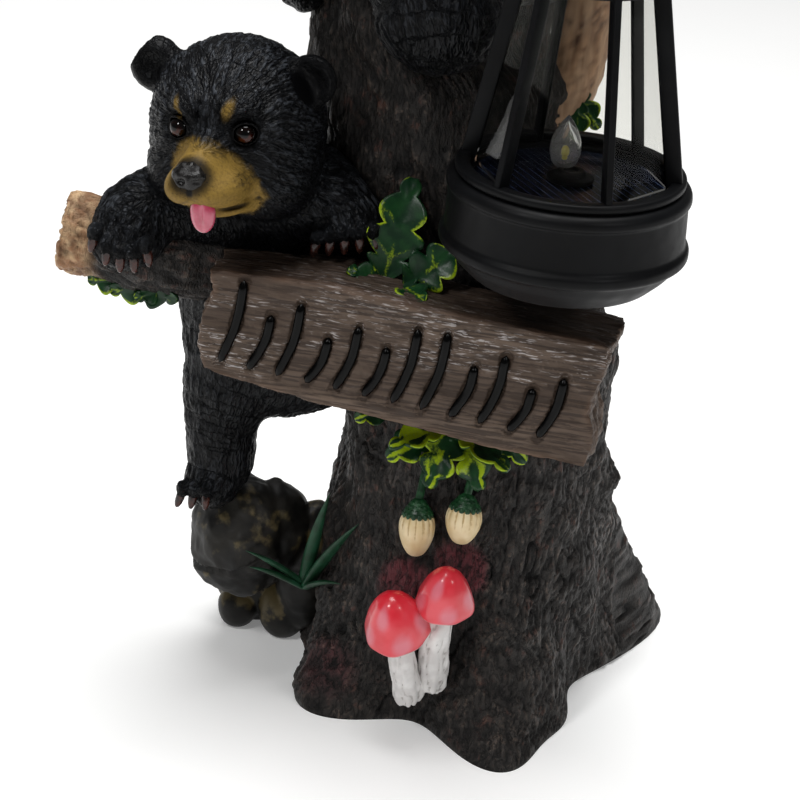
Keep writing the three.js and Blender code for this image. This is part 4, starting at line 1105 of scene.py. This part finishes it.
def makeSign():
    outline = np.array(sign["outline"], np.float32)
    paths = strokePaths()
    radius = sign["strokes"]["groove"]
    grooves = [np.column_stack([path[:, :3], np.full(len(path), radius)])[::3] for path in paths]
    middle = sign["front"] + sign["thickness"] / 2
    edge = sign["edge"]

    def field(p):
        jag = 1.3 * noise(p * (0.25, 1, 1), 3.2, 61) + 0.8 * noise(p, 9, 62)
        ends = smooth(34, 40, np.abs(p[:, 0] + 14.5) - 27)
        d = outlineField(outline, p[:, 0], p[:, 2]) + edge + jag * (0.12 + 0.6 * ends) + 0.5 * ends
        wide = np.abs(p[:, 1] - middle) - sign["thickness"] / 2 + edge
        out = np.hypot(np.maximum(d, 0), np.maximum(wide, 0)) + np.minimum(np.maximum(d, wide), 0) - edge
        groove = np.minimum.reduce([limb(p, row) for row in grooves])
        return smoothMax(out, -groove, 0.8)
    points, faces = skin(field, *sign["box"], sign["cell"])
    n = normalsOf(points, faces)
    along = unit(np.array([1, 0, -0.06]) + 0.22 * drift(points, 24, 64))
    fine = np.clip(np.abs(streaks(points, along, 1.3, 18, 65, 13)) * 0.8, 0, 1) ** 0.7
    broad = streaks(points, along, 4.5, 44, 66, 13)
    chatter = rugged(points * (0.6, 1, 1), 3.2, 2, 67)
    onEnd = smooth(0.5, 0.85, np.abs(n[:, 0]))
    height = 0.4 * (fine - 0.55) + 0.24 * broad + 0.2 * chatter + onEnd * 0.7 * rugged(points, 4, 2, 68)
    inGroove = smooth(sign["front"] + 1.4, sign["front"] + 0.6, points[:, 1]) + (n[:, 1] > -0.5)
    points = points + n * (height * np.clip(inGroove, 0.3, 1))[:, None]
    ridge = np.clip(0.12 + 0.6 * fine + 0.22 * broad + 0.2 * chatter, 0, 1)
    curve = np.abs(outlineField(outline, points[:, 0], points[:, 2]))
    rim = smooth(2.6, 0.2, curve) * smooth(3.2, 0.4, points[:, 1] - sign["front"])
    worn = np.clip(rim * (0.55 + 0.5 * noise(points, 7, 69)) + onEnd * 0.25 * (1 + noise(points, 5, 70)), 0, 1)
    brush = np.maximum(smooth(-45, -80, points[:, 0]), smooth(132, 148, points[:, 2]))
    # the top mask marks faces turned up, which the paint darkens as painted shade
    build("sign_plank", (points, faces), plankBrown,
          {"ridge": ridge, "worn": worn, "top": smooth(0.4, 0.8, n[:, 2]), "brush": brush})
    sink, bead = sign["strokes"]["sink"], sign["strokes"]["bead"]
    sunk = [path[:, :3] + (0, sink, 0) + 0.12 * drift(path[:, :3], 3, 72) for path in paths]
    thick = [bead * (1 - np.abs(np.linspace(-1, 1, len(path))) ** 9) ** 0.5 + 0.05 for path in paths]
    beads("sign_strokes", sunk, thick, 0.0, 12, strokeBlack)


makeSign()

# Oak leaves: stalk end, tip, the way they face, width
leaf = {"thick": 1.3, "fold": 0.28, "curl": 0.14, "rows": 34, "columns": 13, "lobes": 3,
        "rib": 0.45, "wave": 0.7, "lime": 0.72, "rosette": (104, 116)}
leaves = [
    ((-26, -47, 157), (-20, -41, 192), (0.1, -1, 0.15), 19),
    ((-19, -49, 157), (-2, -46, 173), (0.1, -1, 0.4), 16),
    ((-21, -48, 158), (-10, -61, 161), (0, -0.3, 1), 12),
    ((-25, -47, 157), (-36, -52, 163), (-0.2, -0.7, 0.8), 10),
    ((0, -39, 109), (-19, -51, 98), (-0.1, -1, 0.35), 15), ((2, -39, 110), (-4, -55, 92), (0, -1, 0.3), 15),
    ((3, -39, 110), (13, -53, 93), (0.1, -1, 0.3), 14), ((8, -36, 111), (26, -44, 101), (0.2, -1, 0.3), 12),
    ((2, -42, 108), (22, -54, 104), (0.1, -0.6, 0.8), 11),
    ((-2, -42, 108), (-17, -56, 106), (0, -0.6, 0.8), 11),
    ((-18, -36, 112), (-33, -41, 105), (-0.3, -1, 0.2), 10),
    ((-24, -37, 114), (-38, -40, 112), (-0.2, -1, 0.3), 8),
    ((-110, -47, 145), (-124, -51, 144), (0, -1, 0.1), 10),
    ((-100, -46, 144), (-116, -52, 141.5), (0, -1, -0.1), 11),
    ((-110, -46, 145), (-94, -50, 140.5), (0, -1, -0.1), 12),
    ((-97, -45, 145), (-107, -52, 140.5), (0, -1, 0), 9),
    ((22, 6, 214), (33, 3, 203), (0.5, -1, 0), 10),
    ((24, 5, 212), (27, -1, 199), (0.2, -1, 0), 9),
]


def makeLeaves():
    shapes, veins = [], []
    for number, (base, tip, facing, width) in enumerate(leaves):
        length = float(np.linalg.norm(np.array(tip, float) - base))
        lobes = leaf["lobes"] if width > 12 else 2
        u = np.linspace(0.015, 0.985, leaf["rows"])[:, None]
        v = np.linspace(-1, 1, leaf["columns"])[None, :]
        notch = np.abs(np.sin(math.pi * (lobes + 0.5) * u ** 0.9)) ** 0.6
        half = 0.5 * width * np.sin(math.pi * u ** 0.75) ** 0.55 * (0.42 + 0.58 * notch)
        half = np.maximum(half, 0.045 * width)
        x = half * v
        y = length * (u + 0.11 * np.abs(v) * notch * (1 - u))
        rib = leaf["rib"] * np.exp(-(x / (0.05 * width)) ** 2)
        side = np.cos(2 * math.pi * (lobes + 0.5) * (u ** 0.9 - 0.16 * np.abs(v)))
        spread = smooth(0.55, 1.0, side) * np.exp(-(np.abs(v) / 0.9) ** 4)
        lift = leaf["fold"] * np.abs(x) - leaf["curl"] * length * u ** 3 + rib + 0.3 * spread
        lift = lift + leaf["wave"] * np.abs(v) ** 2 * np.sin(9 * u + number + 2 * np.sign(v))
        top = np.stack([x, -lift, np.broadcast_to(y, x.shape)], 2)
        under = top[:, ::-1] + (0, leaf["thick"], 0)
        rings = np.concatenate([top, under], 1)
        p, f = wrap(rings[:, ::-1])
        shapes.append((aimed(p, base, tip, facing), f))
        mark = np.maximum(0.95 * np.exp(-(x / (0.07 * width)) ** 2), 0.85 * spread)
        mark = np.maximum(mark * 0.7, 0.95 * smooth(0.6, 1.0, np.abs(v)) * np.ones_like(u))
        place = np.stack([3 * v + 0 * u, 5 * u + 0 * v, 0 * u * v + 7 * number], 2)
        patch = noise(place.reshape(-1, 3), 1.4, 21).reshape(mark.shape)
        underSign = leaf["rosette"][0] < base[2] < leaf["rosette"][1]
        mark = mark * smooth(-0.45, 0.2, patch) * (1 if underSign else 0.8)
        mark = np.maximum(mark, leaf["lime"] * underSign * smooth(-0.35, 0.3, patch))
        both = np.concatenate([mark, 0 * mark], 1)[:, ::-1]
        veins += [both.ravel(), np.zeros(2)]
    build("oak_leaves", joined(*shapes), leafGreen, {"vein": np.concatenate(veins)})


makeLeaves()

# Acorns on their stems
acorns = {
    "spots": [((-7.4, -48, 83), (-6.5, -50.5, 63.2)), ((8.7, -48, 87.7), (8.2, -50.5, 70.5))],
    "nutRadius": 6.2, "capRadius": 4.9, "flutes": 15, "stem": 1.4, "lean": (1, 7, 15), "rows": 4, "scales": 15,
    "scale": {"Length": 2.2 * mm, "Width": 2.3 * mm, "Depth": 1.1 * mm, "Taper": 0.3, "Bend": 0.0},
}


def makeAcorns():
    nuts, grooves, caps, spots, aims, faces = [], [], [], [], [], []
    stems = []
    for top, tip in acorns["spots"]:
        length = float(np.linalg.norm(np.array(tip, float) - top))
        r, c = acorns["nutRadius"], acorns["capRadius"]
        profile = [(0, 0.2), (0.72 * r, 0.22), (0.94 * r, 0.32), (r, 0.46), (0.93 * r, 0.64), (0.72 * r, 0.82),
                   (0.42 * r, 0.96), (0, 1)]
        p, f = lathe(softened([(a, b * length) for a, b in profile], 3, 5), 60)
        turn = np.arctan2(p[:, 1], p[:, 0])
        flute = 0.5 + 0.5 * np.cos(acorns["flutes"] * turn + 0.8 * np.sin(2 * turn))
        fade = smooth(0.9, 0.35, p[:, 2] / length)
        p[:, :2] *= (1 - 0.06 * flute * fade)[:, None]
        nuts.append((aimed(p, top, tip), f))
        grooves.append(smooth(0.6, 1, flute) * fade * 0.9)
        shell = [(0, -0.06), (0.34 * c, -0.02), (0.6 * c, 0.06), (c, 0.2), (0.98 * c, 0.27), (0.8 * c, 0.29),
                 (0, 0.26)]
        p, f = lathe(softened([(a, b * length) for a, b in shell], 1.5), 40)
        caps.append((aimed(p, top, tip), f))
        along = unit(np.array(tip, float) - top)
        for row in range(acorns["rows"]):
            share = (row + 0.5) / acorns["rows"]
            count = int(6 + (acorns["scales"] - 6) * min(1, share * 1.6))
            for i in range(count):
                swing = 2 * math.pi * (i + 0.5 * (row % 2)) / count
                ring = c * (0.36 + 0.64 * share)
                spot = [ring * math.cos(swing), ring * math.sin(swing), length * (-0.02 + 0.24 * share)]
                here = aimed(np.array([spot]), top, tip)[0]
                out = unit(here - np.array(top) - along * ((here - np.array(top)) @ along))
                spots.append(here)
                aims.append(unit(along + 0.35 * out))
                faces.append(-out)
        path = spline([np.append(np.array(top) + np.array(acorns["lean"]) * s, 1) for s in (0, 0.5, 1)], 6)
        stems.append(path[:, :3] + (0, 0, -0.5))
    build("acorn_nuts", joined(*nuts), acornCream, {"groove": np.concatenate(grooves)})
    build("acorn_caps", joined(*caps), acornGreen)
    studded("acorn_scales", spots, aims, faces, acorns["scale"], acornGreen)
    beads("acorn_stems", stems, [np.full(len(path), acorns["stem"]) for path in stems], 0.0, 10, acornGreen)


makeAcorns()

# Mushrooms at the foot
capSpots = [(-2.5, 0.3), (-1.2, 0.25), (-0.2, 0.42), (-1.9, 0.72), (0.9, 0.3), (2.2, 0.5)]  # turn, height


def makeMushrooms():
    caps, spotted, rims, stems, grooves = [], [], [], [], []
    for number, m in enumerate(mushrooms):
        foot, top = np.array(m["foot"], float), np.array(m["top"], float)
        rim = top + unit(foot - top) * m["capHeight"]
        r, h = m["capRadius"], m["capHeight"]
        profile = [(0, 0.12 * h), (0.8 * r, -0.04 * h), (r, 0.06 * h), (0.97 * r, 0.22 * h),
                   (0.74 * r, 0.6 * h), (0.4 * r, 0.9 * h), (0, h)]
        p, f = lathe(softened(profile, 4, 6), 72)
        turn = np.arctan2(p[:, 1], p[:, 0])
        lobe = 1 + 0.035 * np.sin(3 * turn + number) + 0.02 * np.sin(7 * turn + 2 * number)
        p[:, :2] *= lobe[:, None]
        spot = sum(smooth(0.26, 0.1, np.hypot(np.angle(np.exp(1j * (turn - a))) * 0.6, p[:, 2] / h - b))
                   for a, b in capSpots)
        spotted.append(np.clip(spot, 0, 1))
        rims.append(smooth(0.09 * h, 0.0, p[:, 2]) * smooth(0.5 * r, 0.85 * r, np.hypot(p[:, 0], p[:, 1])))
        caps.append((aimed(p, rim, top), f))
        under = rim + (top - rim) * 0.2
        middle = (foot + rim) / 2 - (0, 2, 0)
        rows = [(*foot, 1.15 * m["stemRadius"]), (*middle, m["stemRadius"]), (*under, 0.75 * m["stemRadius"])]
        rings, _ = tube(rows, 56, 14)
        centres = rings.mean(1, keepdims=True)
        end = [(rings[0] - centres[0]) * s + centres[0] + (0, 0, -d) for s, d in ((0.5, 2.6), (0.85, 1.7))]
        rings = np.concatenate([end, rings])
        p, f = wrap(rings)
        n = normalsOf(p, f)
        flow = unit(np.tile(rim - foot, (len(p), 1)) + 6 * drift(p, 9, 120))
        line = np.clip(np.abs(streaks(p, flow, 2.0, 16, 125 + number)) * 0.9, 0, 1)
        stems.append((p + n * (0.7 * (line - 0.5) + 0.5 * noise(p, 7, 128))[:, None], f))
        grooves.append(np.clip(0.75 - 1.4 * line, 0, 1))
    build("mushroom_caps", joined(*caps), capRed,
          {"spot": np.concatenate(spotted), "rim": np.concatenate(rims)})
    build("mushroom_stems", joined(*stems), stemWhite, {"groove": np.concatenate(grooves)})


makeMushrooms()

# Grass tuft between the rocks and the stump
grass = {"bow": 5, "blades": [((-49, -25, 32), (-40, -36, 74), 5.4), ((-48, -25, 32), (-28, -42, 67.5), 5.8),
                              ((-50, -25, 33), (-67.5, -38, 48), 5), ((-50, -25, 31), (-66, -38, 42), 4.6),
                              ((-48, -25, 31), (-33, -40, 42.5), 4.4)]}


def makeGrass():
    paths, thick = [], []
    for root, tip, width in grass["blades"]:
        root, tip = np.array(root, float), np.array(tip, float)
        middle = (root + tip) / 2 + (0, -grass["bow"], grass["bow"])
        t = np.linspace(0, 1, 16)[:, None]
        paths.append((1 - t) ** 2 * root + 2 * t * (1 - t) * middle + t * t * tip)
        t = t[:, 0]
        thick.append(0.5 * width * (0.8 + 0.7 * t * (1 - t)) * (1 - t ** 2.2) + 0.12)
    beads("grass_blades", paths, thick, 0.5, 10, grassGreen)


makeGrass()

# Lantern
lantern = {
    "at": (32.6, -60, 173), "turn": -2,
    "pan": [(0, -1.5), (20, -1.5), (28.8, 2.0), (34.4, 7.4), (36.8, 11), (39.2, 12), (39.2, 15), (37.8, 16.4),
            (37.4, 29.6), (38.4, 30.6), (38.2, 33), (36.4, 34.6), (32.6, 34.6), (32.6, 31), (0, 31)],
    "floor": 31, "glass": (35.4, 100, 31, 19.4, 1.5), "sides": 6,
    "cap": [(0, 0), (23.5, 0), (25, 2), (22, 5), (9, 12), (5, 18), (0, 19)], "capAt": 100.4,
    "loop": {"inner": 8, "tube": 1.9, "height": 129.1},
    "cell": (30, 1.6), "socket": (5, 3.4), "bulb": (5, 17), "bulbAside": -2.4, "bulbWall": 0.7,
    "led": [(0, 0), (0.9, 0), (0.9, 1.4), (1.3, 1.7), (1.3, 3.2), (0.7, 4.4), (0, 4.7)], "ledAt": 2.4, "gap": 0.4,
    "rib": {"out": 1.6, "width": 5.2, "depth": 2.2, "edge": 0.5},
    "footRing": (0.3, 5.0, -0.4, 2.4, 1.1), "headRing": (0.3, 3.0, -3, 0, 0.7),  # inner, outer, low, high, edge
}


def plasticPaint():
    material, start, shader = paint("black plastic", {"Specular IOR Level": 0.13})
    cloud = ramp(speckle(start, 30), 0.35, 0.7)
    scuff = ramp(speckle(start, 5, 4.0), 0.3, 0.8)
    return coated(material, shader, mixed(cloud, tint("050506"), tint("0b0c0e")), 0.42 + scuff * 0.12,
                  bump(speckle(start, 0.5, 2.0), 0.12, 0.1))


def cellPaint():  # dark blue cell with fine slanting lines
    material, start, shader = paint("solar cell", {"Roughness": 0.15, "Specular IOR Level": 0.25})
    place = start.node("ShaderNodeTexCoord", out=3)
    x, y = [start.node("ShaderNodeSeparateXYZ", None, {0: place}, out=i) for i in range(2)]
    spacing = 2.6 * mm
    wave = start.maths("SINE", (x * 0.8 + y * 0.6) * (2 * math.pi / spacing))
    line = ramp(wave, 0.8, 0.97)
    coat = mixed(ramp(speckle(start, 12), 0.35, 0.7), tint("05070f"), tint("0b1224"))
    return coated(material, shader, mixed(line, coat, tint("3a4358")))


def clearPaint(name, colour, rough, ior, clear=1.0):  # see-through by plain values
    material, start, shader = paint(name, {"Base Color": tint(colour), "Roughness": rough, "IOR": ior,
                                           "Transmission Weight": clear, "Specular IOR Level": 0.3})
    return coated(material, shader, relief=bump(speckle(start, 9, 2.0), 0.03, 0.2))


def ledPaint():
    return glossPaint("led yellow", "c9b21e", "e6d84a", 1.5, 0.25)


def inLantern(shape):
    p, f = shape
    turn = math.radians(lantern["turn"])
    c, s = math.cos(turn), math.sin(turn)
    return p @ np.array([[c, s, 0], [-s, c, 0], [0, 0, 1]]) + np.array(lantern["at"]), f


def ringShape(inner, outer, low, high, edge, sides=128):  # a flat ring with rounded edges
    a, b, c, d = (inner, low), (outer, low), (outer, high), (inner, high)
    rows = softened([((inner + outer) / 2, low), b, c, d, a, ((inner + outer) / 2, low)], edge)[:-1]
    turn = np.linspace(0, 2 * math.pi, sides, endpoint=False)
    p = np.stack([[r * np.cos(turn), r * np.sin(turn), np.full(sides, z)] for r, z in rows]).transpose(0, 2, 1)
    return p.reshape(-1, 3), closedGrid(len(rows), sides)


def hexRing(radius, z):
    swing = np.arange(lantern["sides"]) * 2 * math.pi / lantern["sides"]
    return np.stack([radius * np.cos(swing), radius * np.sin(swing), np.full(lantern["sides"], z)], 1)


def makeLantern():
    plastic, plasticSlot = plasticPaint(), "black_plastic"
    bowl = lathe(softened(lantern["pan"], 1.6, 5), 144)
    build("lantern_bowl", inLantern(bowl), plastic, None, "lantern_pan", plasticSlot)
    radius, thick = lantern["cell"]
    low = lantern["floor"] + lantern["gap"]
    disc = lathe(softened([(0, low), (radius, low), (radius, low + thick), (0, low + thick)], 0.4), 96)
    build("lantern_cell", inLantern(disc), cellPaint(), None, "lantern_solar_cell", "solar_cell")
    low += thick + lantern["gap"]
    r, h = lantern["socket"]
    rows = [(0, 0), (r * 1.5, 0), (r * 1.5, 0.35 * h), (r, 0.5 * h), (0.86 * r, h), (0.5 * r, h),
            (0.5 * r, 0.7 * h), (0, 0.7 * h)]
    cup = lathe(softened([(a, low + b) for a, b in rows], 0.5), 64)
    build("lantern_socket", inLantern(cup), plastic, None, "lantern_lamp_socket", plasticSlot)
    low += h + lantern["gap"]
    r, h = lantern["bulb"]
    rows = [(0, 0), (0.5 * r, 0.0), (0.82 * r, 0.1), (r, 0.3), (0.95 * r, 0.5), (0.62 * r, 0.74),
            (0.26 * r, 0.9), (0, 1)]
    flame = softened([(a, low + b * h) for a, b in rows], 2, 5)
    inner = softened([(max(a - lantern["bulbWall"], 0), low + 0.05 * h + b * 0.85 * h) for a, b in rows], 2, 5)
    shell = lathe(flame, 48)
    hollow = lathe(inner, 48)
    aside = (lantern["bulbAside"], 0, 0)
    shell, hollow = (shell[0] + aside, shell[1]), (hollow[0] + aside, flipped(hollow[1]))
    build("lantern_bulb_glass", inLantern(joined(shell, hollow)),
          clearPaint("clear bulb", "ffffff", 0.03, 1.38, 0.92), None, "lantern_bulb", "clear_bulb")
    p, f = lathe(softened([(a, low + lantern["ledAt"] + b) for a, b in lantern["led"]], 0.4), 24)
    build("lantern_led", inLantern((p + aside, f)), ledPaint(), None, "lantern_bulb", "clear_bulb")
    bottom, top, wide, narrow, wall = lantern["glass"]
    rings = [hexRing(wide, bottom), hexRing(narrow, top),
             hexRing(narrow - wall, top), hexRing(wide - wall, bottom)]
    count = lantern["sides"]
    sleeve = np.vstack(rings), closedGrid(len(rings), count)
    panes = build("lantern_panes", inLantern(sleeve), clearPaint("clear pane", "efefec", 0.02, 1.12), None,
                  "lantern_glass", "clear_pane")
    panes.data.shade_flat()
    rib = lantern["rib"]
    bars = grow(ribs, [(0, 0, 0)], [], {}, {
        "Count": count, "Foot": (wide + rib["out"]) * mm, "Head": (narrow + rib["out"]) * mm,
        "Low": (bottom + 0.5) * mm, "High": (top - 0.2) * mm, "Width": rib["width"] * mm,
        "Depth": rib["depth"] * mm, "Edge": rib["edge"] * mm}, plastic)
    turn = Matrix.Rotation(math.radians(lantern["turn"]), 4, "Z")
    bars.transform(Matrix.Translation(Vector(lantern["at"]) * mm) @ turn)
    show(bars, "lantern_ribs", plastic, "lantern_frame", plasticSlot)
    hoops = []
    for radius, level, key in ((wide, bottom, "footRing"), (narrow, top, "headRing")):
        inner, outer, low, high, edge = lantern[key]
        hoops.append(ringShape(radius + inner, radius + outer, level + low, level + high, edge))
    build("lantern_rings", inLantern(joined(*hoops)), plastic, None, "lantern_frame", plasticSlot)
    roof = lathe(softened([(a, lantern["capAt"] + b) for a, b in lantern["cap"]], 1.8, 5), 128)
    thick, height = lantern["loop"]["tube"], lantern["loop"]["height"]
    big = lantern["loop"]["inner"] + thick
    turn, small = [np.linspace(0, 2 * math.pi, n, endpoint=False) for n in (72, 20)]
    out = big + thick * np.cos(small)
    p = np.stack([out * np.cos(turn)[:, None], np.tile(thick * np.sin(small), (len(turn), 1)),
                  height + out * np.sin(turn)[:, None]], 2)
    loop = p.reshape(-1, 3), closedGrid(len(turn), len(small))[:, [0, 3, 2, 1]]
    build("lantern_roof", inLantern(joined(roof, loop)), plastic, None, "lantern_cap", plasticSlot)


makeLantern()

# Floor, soft light and the photo's camera
stage = {"floor": 6.0, "floorColours": ("f8f8f7", "fbfbfa"), "world": "ffffff", "worldPower": 0.12,
         "floorGlow": 0.16, "aim": (-0.02, -0.02, 0.15),
         "lights": [((-0.05, 0.1, 1.5), 1.1, 23.5), ((-0.55, -0.95, 1.15), 0.3, 6.2),
                    ((0.9, -0.75, 0.9), 0.3, 2.5)]}  # place, size, power
photo = {"at": (134.3, -904.1, 504.9), "azimuth": 10, "pitch": 24, "roll": 5, "lens": 130.5, "sensor": 36}


def setStage():
    half = stage["floor"] / 2
    mesh = bpy.data.meshes.new("floor")
    corners = [(-half, -half, 0), (half, -half, 0), (half, half, 0), (-half, half, 0)]
    mesh.from_pydata(corners, [], [(0, 1, 2, 3)])
    floor = bpy.data.objects.new("floor", mesh)
    material, start, shader = paint("pale floor", {"Roughness": 0.9, "Specular IOR Level": 0.1,
                                                   "Emission Color": tint("ffffff"),
                                                   "Emission Strength": stage["floorGlow"]})
    cloud = ramp(speckle(start, 300), 0.3, 0.7)
    mesh.materials.append(coated(material, shader, mixed(cloud, *[tint(code) for code in stage["floorColours"]])))
    bpy.context.scene.collection.objects.link(floor)
    world = bpy.data.worlds.new("soft room")
    world.use_nodes = True
    world.node_tree.nodes["Background"].inputs[0].default_value = tint(stage["world"])
    world.node_tree.nodes["Background"].inputs[1].default_value = stage["worldPower"]
    bpy.context.scene.world = world
    bpy.context.scene.view_settings.view_transform = "Standard"
    for number, (at, size, power) in enumerate(stage["lights"]):
        lamp = bpy.data.lights.new(f"softbox{number}", "AREA")
        lamp.shape = "DISK"
        lamp.size = size
        lamp.energy = power
        holder = bpy.data.objects.new(f"softbox{number}", lamp)
        holder.location = at
        holder.rotation_euler = (Vector(stage["aim"]) - Vector(at)).to_track_quat("-Z", "Y").to_euler()
        bpy.context.scene.collection.objects.link(holder)


def setCamera():
    a, e, r = [math.radians(photo[k]) for k in ("azimuth", "pitch", "roll")]
    level = Vector((math.cos(a), math.sin(a), 0))
    upright = Vector((-math.sin(a) * math.sin(e), math.cos(a) * math.sin(e), math.cos(e)))
    back = Vector((math.sin(a) * math.cos(e), -math.cos(a) * math.cos(e), math.sin(e)))
    right = level * math.cos(r) + upright * math.sin(r)
    up = upright * math.cos(r) - level * math.sin(r)
    lens = bpy.data.cameras.new("photo camera")
    lens.lens = photo["lens"]
    lens.sensor_width = photo["sensor"]
    holder = bpy.data.objects.new("photo camera", lens)
    turn = Matrix((right, up, back)).transposed()
    holder.matrix_world = Matrix.Translation(Vector(photo["at"]) * mm) @ turn.to_4x4()
    bpy.context.scene.collection.objects.link(holder)
    bpy.context.scene.camera = holder


setStage()
setCamera()
print("stage set")
